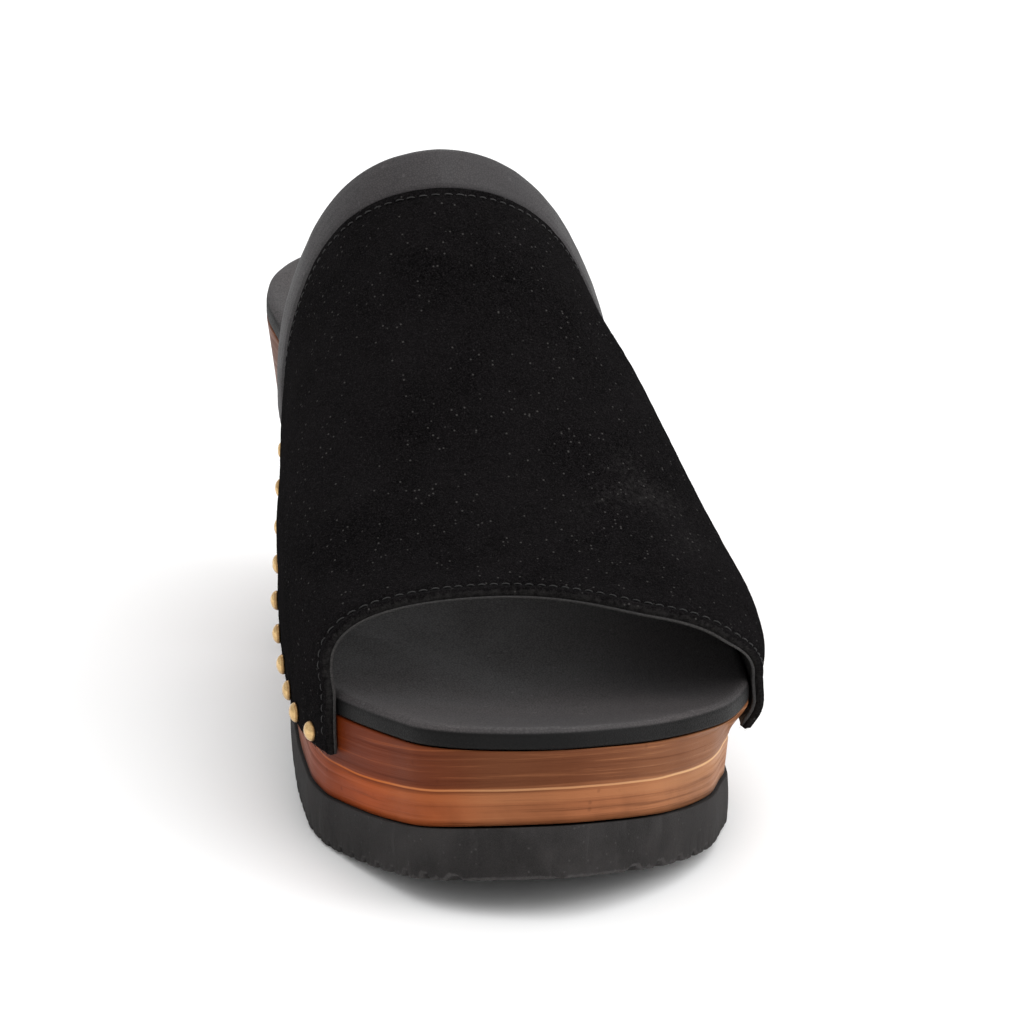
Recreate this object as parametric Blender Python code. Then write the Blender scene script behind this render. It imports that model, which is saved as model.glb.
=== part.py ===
"""Open-toe suede mule for the left foot, nailed round a carved wooden sole.

All lengths are in metres. +Z is up, the toe points to -Y and the inner (big toe) side is -X.
The origin is on the floor, under the middle of the heel.
"""

import math
from collections import namedtuple

import bmesh
import bpy
import numpy as np
from mathutils import Matrix, Vector

# Driving sizes of the sole
SOLE_LENGTH = 0.228
BALL_WIDTH = 0.094
SEAT_WIDTH = 0.066
SEAT_HEIGHT = 0.0755
FOREPART_THICKNESS = 0.0155
OUTSOLE_THICKNESS = 0.011
OUTSOLE_BACK_THICKNESS = 0.0035
HEEL_LIFT_THICKNESS = 0.009
HEEL_BASE_LENGTH = 0.057
BREAST_RUN = 0.022
TOE_SPRING = 0.0090
CUP_DEPTH = 0.0022
ARCH_RISE = 0.0035
FOOTBED_THICKNESS = 0.0045
FOOTBED_EDGE_RADIUS = 0.0022
RUBBER_LIP = 0.0007
RUBBER_BEVEL = 0.0009
JOINT_GROOVE_DEPTH = 0.0004
JOINT_GROOVE_HALF_HEIGHT = 0.0004
RIB_PITCH = 0.005
RIB_DEPTH = 0.0013
RIB_LAND_SHARE = 0.46
RIB_FLANK_SHARE = 0.16

# Driving sizes of the upper
INSTEP_HEIGHT = 0.0620
SIDE_BULGE = 0.0035
SUEDE_WALL = 0.0022
COLLAR_WALL = 0.0030
COLLAR_BAND = 0.0095
INNER_OVERLAP = 0.0080
OUTER_OVERLAP = 0.0048
NAIL_HEAD_RADIUS = 0.0021
NAIL_HEAD_HEIGHT = 0.0011
NAIL_PITCH = 0.0101
NAIL_ABOVE_EDGE = 0.0033
NAIL_FROM_FRONT = 0.0068
OUTER_NAIL_FROM_FRONT = 0.0130
GAP = 0.0003

# Sideways lean of the sole's walls, in metres of inset for each metre down
HEEL_LEAN = 0.070
FOREPART_LEAN = 0.040
OUTER_BALL_LEAN = 0.100
HEEL_WAIST = 0.0014
OUTER_TUCK = 0.0033
TUCK_DEPTH = 0.0075
FRONT_TUCK_DEPTH = 0.0010

# How finely the curved pieces are divided
SPANS_ACROSS = 8
OUTLINE_STATIONS = 34
BREAST_STATIONS = 6
WALL_SPANS = 5
LOWER_WALL_SPANS = 4
UPPER_SPANS = 32
FLAP_SPANS = 4
VAMP_ROWS = 18
NAIL_SIDES = 8
TIP_STEPS = (0.00002, 0.0003, 0.0009, 0.0018, 0.0032)

INNER, OUTER = -1, 1

# Where the heel's width gives way to the ball's, where the outsole starts and where it is full,
# and how far its ribs stay from its ends, as shares of the length
WIDTH_BLEND_START = 0.225
WIDTH_BLEND_END = 0.605
OUTSOLE_START_SHARE = 0.41
OUTSOLE_FULL_SHARE = 0.585
PLAIN_END_SHARE = 0.002

# Where the outer side's tuck turns sharp, in front of the upper, and where it fades out at the toe
TUCK_SHARPENS = (0.790, 0.815)
TUCK_FADE = (0.81, 0.95)

# Where the joint runs round the forepart, as a share of the wood's height
JOINT_SHARE = 0.50

Outline = namedtuple("Outline", "along inner outer")
OUTLINE = [
    Outline(0.000, 0.000, 0.000),
    Outline(0.040, 0.325, 0.315),
    Outline(0.080, 0.430, 0.415),
    Outline(0.130, 0.500, 0.475),
    Outline(0.190, 0.530, 0.492),
    Outline(0.270, 0.502, 0.477),
    Outline(0.360, 0.455, 0.446),
    Outline(0.430, 0.446, 0.436),
    Outline(0.500, 0.436, 0.446),
    Outline(0.585, 0.443, 0.470),
    Outline(0.670, 0.450, 0.503),
    Outline(0.730, 0.450, 0.518),
    Outline(0.780, 0.434, 0.510),
    Outline(0.820, 0.403, 0.478),
    Outline(0.865, 0.364, 0.425),
    Outline(0.905, 0.323, 0.347),
    Outline(0.940, 0.283, 0.262),
    Outline(0.970, 0.213, 0.174),
    Outline(0.990, 0.120, 0.092),
    Outline(1.000, -0.008, 0.008),
]

# rise and under are shares of the climb from ball to seat, spring of the toe spring,
# cup of the footbed's dish, arch of its inner lift, joint of the side groove's depth
Side = namedtuple("Side", "along rise under spring cup arch joint")
SIDE = [
    Side(0.000, 1.000, 0.640, 0.00, 0.00, 0.00, 0.0),
    Side(0.100, 0.995, 0.640, 0.00, 1.00, 0.00, 0.0),
    Side(0.180, 0.965, 0.640, 0.00, 0.90, 0.05, 0.0),
    Side(0.275, 0.870, 0.600, 0.00, 0.70, 0.40, 0.0),
    Side(0.380, 0.665, 0.470, 0.00, 0.45, 0.95, 0.0),
    Side(0.480, 0.415, 0.275, 0.00, 0.30, 0.95, 0.0),
    Side(0.585, 0.190, 0.090, 0.00, 0.25, 0.90, 0.5),
    Side(0.665, 0.073, 0.008, 0.00, 0.25, 0.80, 1.0),
    Side(0.710, 0.038, 0.000, 0.00, 0.25, 0.75, 1.0),
    Side(0.770, 0.010, 0.000, 0.00, 0.25, 0.78, 1.0),
    Side(0.860, 0.000, 0.000, 0.22, 0.25, 0.75, 1.0),
    Side(0.940, 0.000, 0.000, 0.58, 0.25, 0.45, 1.0),
    Side(1.000, 0.000, 0.000, 1.00, 0.00, 0.00, 1.0),
]

# height is a share of INSTEP_HEIGHT above the footbed's edge, ridge of half the ball width,
# inner_power and outer_power shape each side's shoulder, the bulges are shares of SIDE_BULGE
Section = namedtuple("Section", "along height ridge inner_power outer_power inner_bulge outer_bulge")
SECTIONS = [
    Section(0.275, 1.135, -0.06, 1.24, 1.36, 0.1, 0.1),
    Section(0.380, 1.062, -0.08, 1.24, 1.38, 0.1, 0.1),
    Section(0.430, 1.005, -0.10, 1.20, 1.30, 0.2, 0.2),
    Section(0.520, 0.880, -0.12, 1.05, 1.08, 0.4, 0.3),
    Section(0.605, 0.720, -0.14, 0.93, 1.00, 0.7, 0.6),
    Section(0.690, 0.545, -0.16, 0.84, 0.90, 0.9, 0.9),
    Section(0.770, 0.405, -0.18, 0.78, 0.82, 1.0, 1.1),
    Section(0.855, 0.290, -0.18, 0.76, 0.78, 0.8, 0.8),
    Section(0.915, 0.210, -0.16, 0.76, 0.78, 0.4, 0.4),
]

# Where the upper's two free edges run, as shares of the length: over the ridge, down the inner side
# and down the outer side. outer_peak is how far forward the edge reaches between ridge and outer side
Edge = namedtuple("Edge", "ridge inner outer outer_peak")
TOPLINE = Edge(0.420, 0.322, 0.322, None)
TOE_OPENING = Edge(0.824, 0.814, 0.790, 0.847)
PEAK_FROM_RIDGE = math.radians(32)
PEAK_FROM_SIDE = math.radians(33)

Finish = namedtuple("Finish", "colour roughness metallic")
SUEDE = Finish((0.012, 0.012, 0.012, 1.0), 0.95, 0.0)
LEATHER = Finish((0.030, 0.028, 0.030, 1.0), 0.45, 0.0)
WOOD = Finish((0.420, 0.180, 0.070, 1.0), 0.45, 0.0)
RUBBER = Finish((0.020, 0.020, 0.021, 1.0), 0.80, 0.0)
BRASS = Finish((0.780, 0.560, 0.250, 1.0), 0.25, 1.0)


def smooth_curve(xs, ys):
    """A curve through the rows of a table that never overshoots them (monotone cubic)."""
    xs, ys = np.array(xs, float), np.array(ys, float)
    step = np.diff(xs)
    slope = np.diff(ys) / step
    tangent = np.zeros(len(xs))
    tangent[0], tangent[-1] = slope[0], slope[-1]
    for i in range(1, len(xs) - 1):
        if slope[i - 1] * slope[i] > 0:
            before, after = 2 * step[i] + step[i - 1], step[i] + 2 * step[i - 1]
            tangent[i] = (before + after) / (before / slope[i - 1] + after / slope[i])

    def value(x):
        x = np.clip(x, xs[0], xs[-1])
        i = int(np.clip(np.searchsorted(xs, x) - 1, 0, len(step) - 1))
        u = (x - xs[i]) / step[i]
        return (
            (1 + 2 * u) * (1 - u) ** 2 * ys[i]
            + u * (1 - u) ** 2 * step[i] * tangent[i]
            + u * u * (3 - 2 * u) * ys[i + 1]
            + u * u * (u - 1) * step[i] * tangent[i + 1]
        )

    return value


def column(table, name):
    return smooth_curve([row.along for row in table], [getattr(row, name) for row in table])


def turn(along):
    """The length share as an angle share, which keeps the round heel and toe smooth."""
    return math.acos(min(1.0, max(-1.0, 1 - 2 * along))) / math.pi


def eased(x, start, end):
    u = min(1.0, max(0.0, (x - start) / (end - start)))
    return u * u * (3 - 2 * u)


side_of = {name: column(SIDE, name) for name in Side._fields[1:]}
section_of = {name: column(SECTIONS, name) for name in Section._fields[1:]}
outline_of = {
    INNER: smooth_curve([turn(row.along) for row in OUTLINE], [-row.inner for row in OUTLINE]),
    OUTER: smooth_curve([turn(row.along) for row in OUTLINE], [row.outer for row in OUTLINE]),
}

# Levels worked out from the driving sizes
WOOD_BOTTOM = OUTSOLE_THICKNESS + GAP
BALL_TOP = WOOD_BOTTOM + FOREPART_THICKNESS
CLIMB = SEAT_HEIGHT - BALL_TOP
HEEL_BLOCK_BOTTOM = HEEL_LIFT_THICKNESS + GAP
BREAST_FOOT = HEEL_BASE_LENGTH / SOLE_LENGTH
BREAST_TOP = (HEEL_BASE_LENGTH + BREAST_RUN) / SOLE_LENGTH
HEEL_BACK_Y = HEEL_BASE_LENGTH / 2

# Each flap's share of the upper's girth
FLAP_SHARE = FLAP_SPANS / (UPPER_SPANS + 2 * FLAP_SPANS)


def y_at(along):
    return HEEL_BACK_Y - along * SOLE_LENGTH


def along_at(y):
    return (HEEL_BACK_Y - y) / SOLE_LENGTH


def top_level(along):
    """Height of the wood's top edge."""
    return BALL_TOP + CLIMB * side_of["rise"](along) + TOE_SPRING * side_of["spring"](along)


def arch_level(along):
    """Height of the wood's underside in front of the heel block."""
    return WOOD_BOTTOM + CLIMB * side_of["under"](along) + TOE_SPRING * side_of["spring"](along)


def under_level(along):
    """Height of the wood's underside, down the heel's breast and under the heel block."""
    if along >= BREAST_TOP:
        return arch_level(along)
    if along <= BREAST_FOOT:
        return HEEL_BLOCK_BOTTOM
    share = (along - BREAST_FOOT) / (BREAST_TOP - BREAST_FOOT)
    rise = math.sqrt(1 - (1 - share) ** 2)
    return HEEL_BLOCK_BOTTOM + (arch_level(BREAST_TOP) - HEEL_BLOCK_BOTTOM) * rise


def dish(along, across):
    """How far the wood's top lies off its edge level. across runs from -1, inner, to 1, outer."""
    cup = CUP_DEPTH * side_of["cup"](along) * (across * across - 1)
    arch = ARCH_RISE * side_of["arch"](along) * max(0.0, -across) ** 2
    return cup + arch


def rim(along, side):
    """The sole's outline seen from above: a point, and the direction straight out of it."""

    def point(share):
        share = min(1.0, max(0.0, share))
        blend = eased(share, WIDTH_BLEND_START, WIDTH_BLEND_END)
        width = SEAT_WIDTH + (BALL_WIDTH - SEAT_WIDTH) * blend
        return Vector((outline_of[side](turn(share)) * width, y_at(share)))

    if along <= 0.0:
        return point(0.0), Vector((0.0, 1.0))
    if along >= 1.0:
        return point(1.0), Vector((0.0, -1.0))
    reach = 0.25 * min(along, 1 - along, 0.02)
    run = point(along + reach) - point(along - reach)
    return point(along), Vector((-run.y * side, run.x * side)).normalized()


def wall_inset(along, side, level):
    """How far the wood's side has leaned in at this height. The heel has a slight waist.

    The outer side of the ball is tucked in below its edge, sharply in front of the upper.
    """
    top = top_level(along)
    forward = eased(along, BREAST_FOOT, WIDTH_BLEND_END)
    lean = HEEL_LEAN + (FOREPART_LEAN - HEEL_LEAN) * forward
    drop = max(0.0, top - level)
    height = top - under_level(along)
    waist = HEEL_WAIST * (1 - forward) * math.sin(math.pi * min(1.0, drop / height))
    if side == INNER:
        return lean * drop + waist
    ball = forward * (1 - eased(along, *TUCK_FADE))
    lean += (OUTER_BALL_LEAN - lean) * ball
    depth = TUCK_DEPTH + (FRONT_TUCK_DEPTH - TUCK_DEPTH) * eased(along, *TUCK_SHARPENS)
    return lean * drop + waist + OUTER_TUCK * ball * eased(drop, 0.0, depth)


def side_point(along, side, level, proud=0.0):
    """A point on the wood's side at this height, or proud of it by a distance."""
    base, out = rim(along, side)
    flat = base + out * (proud - wall_inset(along, side, level))
    return Vector((flat.x, flat.y, level))


def outline_stations():
    """Length shares from heel to toe, close together at the round ends and down the breast."""
    shares = [(1 - math.cos(math.pi * i / OUTLINE_STATIONS)) / 2 for i in range(OUTLINE_STATIONS + 1)]
    breast = [
        BREAST_FOOT + (BREAST_TOP - BREAST_FOOT) * (1 - math.cos(math.pi / 2 * i / BREAST_STATIONS))
        for i in range(BREAST_STATIONS + 1)
    ]
    clear = 0.25 / OUTLINE_STATIONS
    kept = [s for s in shares if s < breast[0] - clear or s > breast[-1] + clear]
    return sorted(kept + breast)


def mesh_object(name, points, faces, finish, smooth_angle=40.0):
    """A named object with its own material, from points that may coincide at round ends."""
    shell = bmesh.new()
    verts = [shell.verts.new(p) for p in points]
    for face in faces:
        if len(set(face)) > 2:
            shell.faces.new([verts[i] for i in face])
    bmesh.ops.remove_doubles(shell, verts=shell.verts, dist=1e-6)
    bmesh.ops.recalc_face_normals(shell, faces=shell.faces)
    if shell.calc_volume(signed=True) < 0:
        bmesh.ops.reverse_faces(shell, faces=shell.faces)
    mesh = bpy.data.meshes.new(name)
    shell.to_mesh(mesh)
    shell.free()
    mesh.shade_smooth()
    mesh.set_sharp_from_angle(angle=math.radians(smooth_angle))
    return placed(name, mesh, finish)


def placed(name, mesh, finish):
    material = bpy.data.materials.new(name)
    material.use_nodes = True
    shader = material.node_tree.nodes["Principled BSDF"]
    shader.inputs["Base Color"].default_value = finish.colour
    shader.inputs["Roughness"].default_value = finish.roughness
    shader.inputs["Metallic"].default_value = finish.metallic
    mesh.materials.clear()
    mesh.materials.append(material)
    made = bpy.data.objects.new(name, mesh)
    bpy.context.scene.collection.objects.link(made)
    return made


def loft(name, rings, finish, smooth_angle=40.0):
    """A closed solid through rings with as many points each, its two ends capped."""
    size = len(rings[0])
    points = [p for ring in rings for p in ring]
    faces = []
    for i in range(len(rings) - 1):
        for j in range(size):
            k = (j + 1) % size
            faces.append((i * size + j, i * size + k, (i + 1) * size + k, (i + 1) * size + j))
    for start in (0, (len(rings) - 1) * size):
        ends = points[start : start + size]
        if max(p.x for p in ends) - min(p.x for p in ends) > 1e-6:
            faces.append(tuple(range(start, start + size)))
    return mesh_object(name, points, faces, finish, smooth_angle)


def row_between(inner, outer, spans, level):
    """Points from the inner edge to the outer one, at the heights that level(along, across) gives."""
    row = []
    at_tip = (outer - inner).length < GAP
    for j in range(spans + 1):
        across = 1.0 if at_tip else 2 * j / spans - 1
        flat = inner.lerp(outer, j / spans)
        row.append(Vector((flat.x, flat.y, level(along_at(flat.y), across))))
    return row


def wood_top(along, across):
    return top_level(along) + dish(along, across)


def joint_heights(bottom, top):
    """The groove's lower lip, bed and upper lip."""
    bed = bottom + JOINT_SHARE * (top - bottom)
    return [bed - JOINT_GROOVE_HALF_HEIGHT, bed, bed + JOINT_GROOVE_HALF_HEIGHT]


def wood_wall(along, side):
    """The wood's side at one station, from top edge to bottom edge, with the joint's groove."""
    top = wood_top(along, side)
    bottom = under_level(along)
    low, bed, high = joint_heights(bottom, top)
    upper = [top + (high - top) * i / WALL_SPANS for i in range(WALL_SPANS)]
    lower = [low + (bottom - low) * (i + 1) / LOWER_WALL_SPANS for i in range(LOWER_WALL_SPANS)]
    levels = upper + [high, bed, low] + lower
    cut = JOINT_GROOVE_DEPTH * side_of["joint"](along)
    return [side_point(along, side, level, -cut if level == bed else 0.0) for level in levels]


def make_wooden_sole():
    """Platform, arch and heel block carved from one piece of wood."""
    rings = []
    for along in outline_stations():
        inner, outer = wood_wall(along, INNER), wood_wall(along, OUTER)
        for wall in (inner, outer):
            wall[0].z = wood_top(along_at(wall[0].y), -1 if wall is inner else 1)
        top = row_between(inner[0], outer[0], SPANS_ACROSS, wood_top)
        bottom = row_between(outer[-1], inner[-1], SPANS_ACROSS, lambda at, _: under_level(at))
        if BREAST_FOOT <= along <= BREAST_TOP:
            for point in bottom:
                point.z = under_level(along)
        rings.append(top + outer[1:-1] + bottom + inner[-2:0:-1])
    return loft("wooden_sole", rings, WOOD, 32.0)


def make_footbed():
    """Leather-covered padded insole on the wood, with a rounded rim."""
    rings = []
    for along in outline_stations():
        inner = side_point(along, INNER, top_level(along))
        outer = side_point(along, OUTER, top_level(along))

        def edge(side, inset, lift):
            base, out = rim(along, side)
            flat = base - out * inset
            level = wood_top(along_at(flat.y), side if 0.0 < along < 1.0 else OUTER) + GAP + lift
            return Vector((flat.x, flat.y, level))

        def crown(at, across):
            return wood_top(at, across) + GAP + FOOTBED_THICKNESS

        radius = FOOTBED_EDGE_RADIUS
        shoulder = FOOTBED_THICKNESS - radius
        bends = (0.0, math.pi / 6, math.pi / 3)
        roll = [(radius * (1 - math.cos(a)), shoulder + radius * math.sin(a)) for a in bends]
        crown_inner = edge(INNER, radius, FOOTBED_THICKNESS)
        crown_outer = edge(OUTER, radius, FOOTBED_THICKNESS)
        top = row_between(crown_inner, crown_outer, SPANS_ACROSS, crown)
        bottom = row_between(outer, inner, SPANS_ACROSS, lambda at, across: wood_top(at, -across) + GAP)
        rings.append(
            top
            + [edge(OUTER, inset, lift) for inset, lift in reversed(roll)]
            + bottom
            + [edge(INNER, inset, lift) for inset, lift in roll]
        )
    return loft("footbed", rings, LEATHER, 50.0)


def rib_stations(start, end):
    """(length share, how deep the tread's groove is there), one rib centred on every pitch from y = 0."""
    land, foot = RIB_LAND_SHARE / 2, RIB_LAND_SHARE / 2 + RIB_FLANK_SHARE
    steps = ((-land, 0.0), (land, 0.0), (foot, 1.0), (1 - foot, 1.0))
    stations = []
    for k in range(-math.ceil(SOLE_LENGTH / RIB_PITCH), math.ceil(HEEL_BACK_Y / RIB_PITCH)):
        for share, depth in steps:
            along = along_at((k + 1 - share) * RIB_PITCH)
            if start + PLAIN_END_SHARE < along < end - PLAIN_END_SHARE:
                stations.append((along, depth))
    return sorted(stations)


def rubber_outline(level_of, proud):
    """The rubber's outline as points along each side, following the wood's lower edge."""
    shares = [(1 - math.cos(math.pi * i / 400)) / 2 for i in range(401)]
    sides = {}
    for side in (INNER, OUTER):
        points = [side_point(share, side, level_of(share), proud) for share in shares]
        order = sorted(points, key=lambda p: p.y)
        sides[side] = (np.array([p.y for p in order]), np.array([p.x for p in order]))
    return sides


def make_rubber(name, stations, outline, upper_level, lower_level):
    """A rubber tread piece across the sole, ribbed underneath, its lower edge bevelled."""
    rings = []
    for along, groove in stations:
        y = y_at(along)
        x = {side: float(np.interp(y, *outline[side])) for side in outline}
        top, bottom = upper_level(along), lower_level(along) + RIB_DEPTH * groove
        width = x[OUTER] - x[INNER]
        bevel = min(RUBBER_BEVEL, width / 4)
        break_level = min(bottom + RUBBER_BEVEL, top - GAP)
        rings.append(
            [
                Vector((x[INNER], y, top)),
                Vector(((x[INNER] + x[OUTER]) / 2, y, top)),
                Vector((x[OUTER], y, top)),
                Vector((x[OUTER], y, break_level)),
                Vector((x[OUTER] - bevel, y, bottom)),
                Vector(((x[INNER] + x[OUTER]) / 2, y, bottom)),
                Vector((x[INNER] + bevel, y, bottom)),
                Vector((x[INNER], y, break_level)),
            ]
        )
    return loft(name, rings, RUBBER, 25.0)


def toward_tip(tip, inward, sizes):
    """Extra stations that round off the rubber's tip, at these distances from it."""
    return [(tip + inward * size / SOLE_LENGTH, 0.0) for size in sizes]


def make_outsole():
    """Forepart rubber from the arch to the toe, thick under the ball and skived at its back."""
    outline = rubber_outline(arch_level, RUBBER_LIP)
    tip = along_at(min(outline[INNER][0].min(), outline[OUTER][0].min()))

    def lower(along):
        full = eased(along, OUTSOLE_START_SHARE, OUTSOLE_FULL_SHARE)
        thickness = OUTSOLE_BACK_THICKNESS + (OUTSOLE_THICKNESS - OUTSOLE_BACK_THICKNESS) * full
        return arch_level(along) - GAP - thickness

    body = rib_stations(OUTSOLE_START_SHARE, tip - TIP_STEPS[-1] / SOLE_LENGTH)
    stations = [(OUTSOLE_START_SHARE, 0.0)] + body + sorted(toward_tip(tip, -1, TIP_STEPS))
    return make_rubber("outsole", stations, outline, lambda at: arch_level(at) - GAP, lower)


def make_heel_lift():
    """Rubber top piece under the heel block, on the same floor plane as the outsole."""
    outline = rubber_outline(lambda _: HEEL_BLOCK_BOTTOM, 0.0)
    tip = along_at(max(outline[INNER][0].max(), outline[OUTER][0].max()))
    body = rib_stations(tip + TIP_STEPS[-1] / SOLE_LENGTH, BREAST_FOOT)
    stations = sorted(toward_tip(tip, 1, TIP_STEPS)) + body + [(BREAST_FOOT, 0.0)]
    return make_rubber("heel_lift", stations, outline, lambda _: HEEL_LIFT_THICKNESS, lambda _: 0.0)


def spring_level(along, side):
    """Height of the footbed's edge, where the upper leaves the sole's side."""
    return wood_top(along, side) + GAP + FOOTBED_THICKNESS


def flap_drop(side):
    """How far the upper reaches down from the footbed's edge, over the wood's side."""
    return FOOTBED_THICKNESS + GAP + (INNER_OVERLAP if side == INNER else OUTER_OVERLAP)


def upper_inside(along, girth):
    """A point on the upper's inner face. girth runs 0 to 1 from inner edge over the ridge to outer edge."""
    side = INNER if girth < 0.5 else OUTER
    climb = girth if girth < 0.5 else 1 - girth
    spring = spring_level(along, side)
    if climb <= FLAP_SHARE:
        level = spring - flap_drop(side) * (1 - climb / FLAP_SHARE)
        return side_point(along, side, level, GAP)
    angle = (climb - FLAP_SHARE) / (0.5 - FLAP_SHARE) * math.pi / 2
    base, out = rim(along, side)
    foot = base + out * GAP
    ridge_x = section_of["ridge"](along) * BALL_WIDTH / 2
    middle = (spring_level(along, INNER) + spring_level(along, OUTER)) / 2
    ridge_level = middle + INSTEP_HEIGHT * section_of["height"](along)
    power = section_of["inner_power" if side == INNER else "outer_power"](along)
    bulge = SIDE_BULGE * section_of["inner_bulge" if side == INNER else "outer_bulge"](along)
    reach = math.cos(angle) ** power
    lift = math.sin(angle) ** power
    flat = Vector((ridge_x + (foot.x - ridge_x) * reach, foot.y))
    flat = flat + out * bulge * math.sin(2 * angle)
    return Vector((flat.x, flat.y, spring + (ridge_level - spring) * lift))


def upper_out(along, girth):
    """The direction straight out of the upper's inner face."""
    step = 0.004
    low, high = max(0.0, girth - step), min(1.0, girth + step)
    across = upper_inside(along, high) - upper_inside(along, low)
    forward = upper_inside(along + step, girth) - upper_inside(along - step, girth)
    return forward.cross(across).normalized()


def edge_share(edge, girth):
    """Where a free edge of the upper runs at this place round its girth."""
    climb = min(girth, 1 - girth)
    angle = max(0.0, (climb - FLAP_SHARE) / (0.5 - FLAP_SHARE)) * math.pi / 2
    if girth < 0.5 or edge.outer_peak is None:
        end = edge.inner if girth < 0.5 else edge.outer
        return edge.ridge + (end - edge.ridge) * math.cos(angle) ** 2
    forward = (edge.outer_peak - edge.ridge) * eased(math.pi / 2 - angle, 0.0, PEAK_FROM_RIDGE)
    back = (edge.outer_peak - edge.outer) * max(0.0, 1 - angle / PEAK_FROM_SIDE) ** 1.7
    return edge.ridge + forward - back


def girth_steps():
    """Places round the girth: a few down each flap, then evenly over the foot."""
    total = UPPER_SPANS + 2 * FLAP_SPANS
    return [i / total for i in range(total + 1)]


def seam_share(girth):
    """Where the collar meets the suede: the band's width ahead of the topline, along the surface."""
    start = edge_share(TOPLINE, girth)
    step = 0.01
    run = (upper_inside(start + step, girth) - upper_inside(start, girth)).length
    return start + step * COLLAR_BAND / run


def wall_solid(name, share_rows, thickness_rows, finish):
    """A curved wall: its inner face follows the upper, its outer face stands off by each row's thickness."""
    girths = girth_steps()
    inside, outside = [], []
    for share_of, thickness in zip(share_rows, thickness_rows):
        inside.append([upper_inside(share_of(g), g) for g in girths])
        outside.append([upper_inside(share_of(g), g) + upper_out(share_of(g), g) * thickness for g in girths])
    rows, columns = len(inside), len(girths)
    points = [p for grid in (inside, outside) for row in grid for p in row]

    def at(layer, row, place):
        return layer * rows * columns + row * columns + place

    faces = []
    for row in range(rows - 1):
        for place in range(columns - 1):
            corners = (row, place), (row, place + 1), (row + 1, place + 1), (row + 1, place)
            faces.append(tuple(at(0, *corner) for corner in corners))
            faces.append(tuple(at(1, *corner) for corner in reversed(corners)))
        for place in (0, columns - 1):
            faces.append((at(0, row, place), at(0, row + 1, place), at(1, row + 1, place), at(1, row, place)))
    for row in (0, rows - 1):
        for place in range(columns - 1):
            faces.append((at(0, row, place), at(0, row, place + 1), at(1, row, place + 1), at(1, row, place)))
    return mesh_object(name, points, faces, finish, 50.0)


def make_vamp():
    """The suede: one hollow wall from the collar seam to the toe opening."""
    seam_gap = GAP / SOLE_LENGTH

    def row(share):
        def place(girth):
            back = seam_share(girth) + seam_gap
            return back + (edge_share(TOE_OPENING, girth) - back) * share

        return place

    shares = [1 - (1 - i / (VAMP_ROWS - 1)) ** 1.3 for i in range(VAMP_ROWS)]
    return wall_solid("suede_vamp", [row(s) for s in shares], [SUEDE_WALL] * VAMP_ROWS, SUEDE)


def make_collar():
    """The smooth leather band round the topline, padded and rolled at its free edge."""

    def row(share):
        def place(girth):
            start = edge_share(TOPLINE, girth)
            return start + (seam_share(girth) - start) * share

        return place

    shares = [0.0, 0.05, 0.15, 0.35, 0.6, 0.8, 0.93, 1.0]
    puff = [0.45, 0.80, 1.04, 1.12, 1.10, 1.02, 0.90, 0.70]
    return wall_solid("collar", [row(s) for s in shares], [COLLAR_WALL * p for p in puff], LEATHER)


def flap_outside(along, side, above_edge):
    """A point on the outer face of the upper's nailed edge, and the direction out of it."""
    climb = FLAP_SHARE * above_edge / flap_drop(side)
    girth = climb if side == INNER else 1 - climb
    out = upper_out(along, girth)
    return upper_inside(along, girth) + out * SUEDE_WALL, out


def make_nail(name, along, side, mesh):
    """A domed brass nail head on the upper's lower edge."""
    seat, out = flap_outside(along, side, NAIL_ABOVE_EDGE)
    nail = placed(name, mesh, BRASS)
    facing = out.to_track_quat("Z", "Y").to_matrix().to_4x4()
    nail.matrix_world = Matrix.Translation(seat + out * GAP) @ facing
    return nail


def nail_mesh():
    """One domed head, standing along +Z."""
    dome = [(NAIL_HEAD_RADIUS * math.cos(a), NAIL_HEAD_HEIGHT * math.sin(a)) for a in (0.45, 1.0)]
    profile = [(NAIL_HEAD_RADIUS, 0.0)] + dome
    shell = bmesh.new()
    rings = []
    for radius, height in profile:
        turns = [2 * math.pi * i / NAIL_SIDES for i in range(NAIL_SIDES)]
        rings.append([shell.verts.new((radius * math.cos(a), radius * math.sin(a), height)) for a in turns])
    crown = shell.verts.new((0.0, 0.0, NAIL_HEAD_HEIGHT))
    for lower, upper in zip(rings, rings[1:]):
        for i in range(NAIL_SIDES):
            k = (i + 1) % NAIL_SIDES
            shell.faces.new((lower[i], lower[k], upper[k], upper[i]))
    for i in range(NAIL_SIDES):
        shell.faces.new((rings[-1][i], rings[-1][(i + 1) % NAIL_SIDES], crown))
    shell.faces.new(rings[0])
    bmesh.ops.recalc_face_normals(shell, faces=shell.faces)
    mesh = bpy.data.meshes.new("nail_head")
    shell.to_mesh(mesh)
    shell.free()
    mesh.shade_smooth()
    mesh.set_sharp_from_angle(angle=math.radians(60))
    return mesh


def make_nails():
    """A row of nails down each side, from behind the toe opening to the collar seam."""
    for side, word in ((INNER, "inner"), (OUTER, "outer")):
        if side == INNER:
            front, back = TOE_OPENING.inner - NAIL_FROM_FRONT / SOLE_LENGTH, TOPLINE.inner
        else:
            front, back = TOE_OPENING.outer - OUTER_NAIL_FROM_FRONT / SOLE_LENGTH, TOPLINE.outer
        back += (COLLAR_BAND + NAIL_HEAD_RADIUS * 2) / SOLE_LENGTH
        count = int((front - back) * SOLE_LENGTH / NAIL_PITCH) + 1
        for i in range(count):
            make_nail(f"nail_{word}_{i + 1:02d}", front - i * NAIL_PITCH / SOLE_LENGTH, side, nail_mesh())


def clear_scene():
    for old in list(bpy.data.objects):
        bpy.data.objects.remove(old)


def main():
    clear_scene()
    make_wooden_sole()
    make_footbed()
    make_outsole()
    make_heel_lift()
    make_vamp()
    make_collar()
    make_nails()


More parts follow.
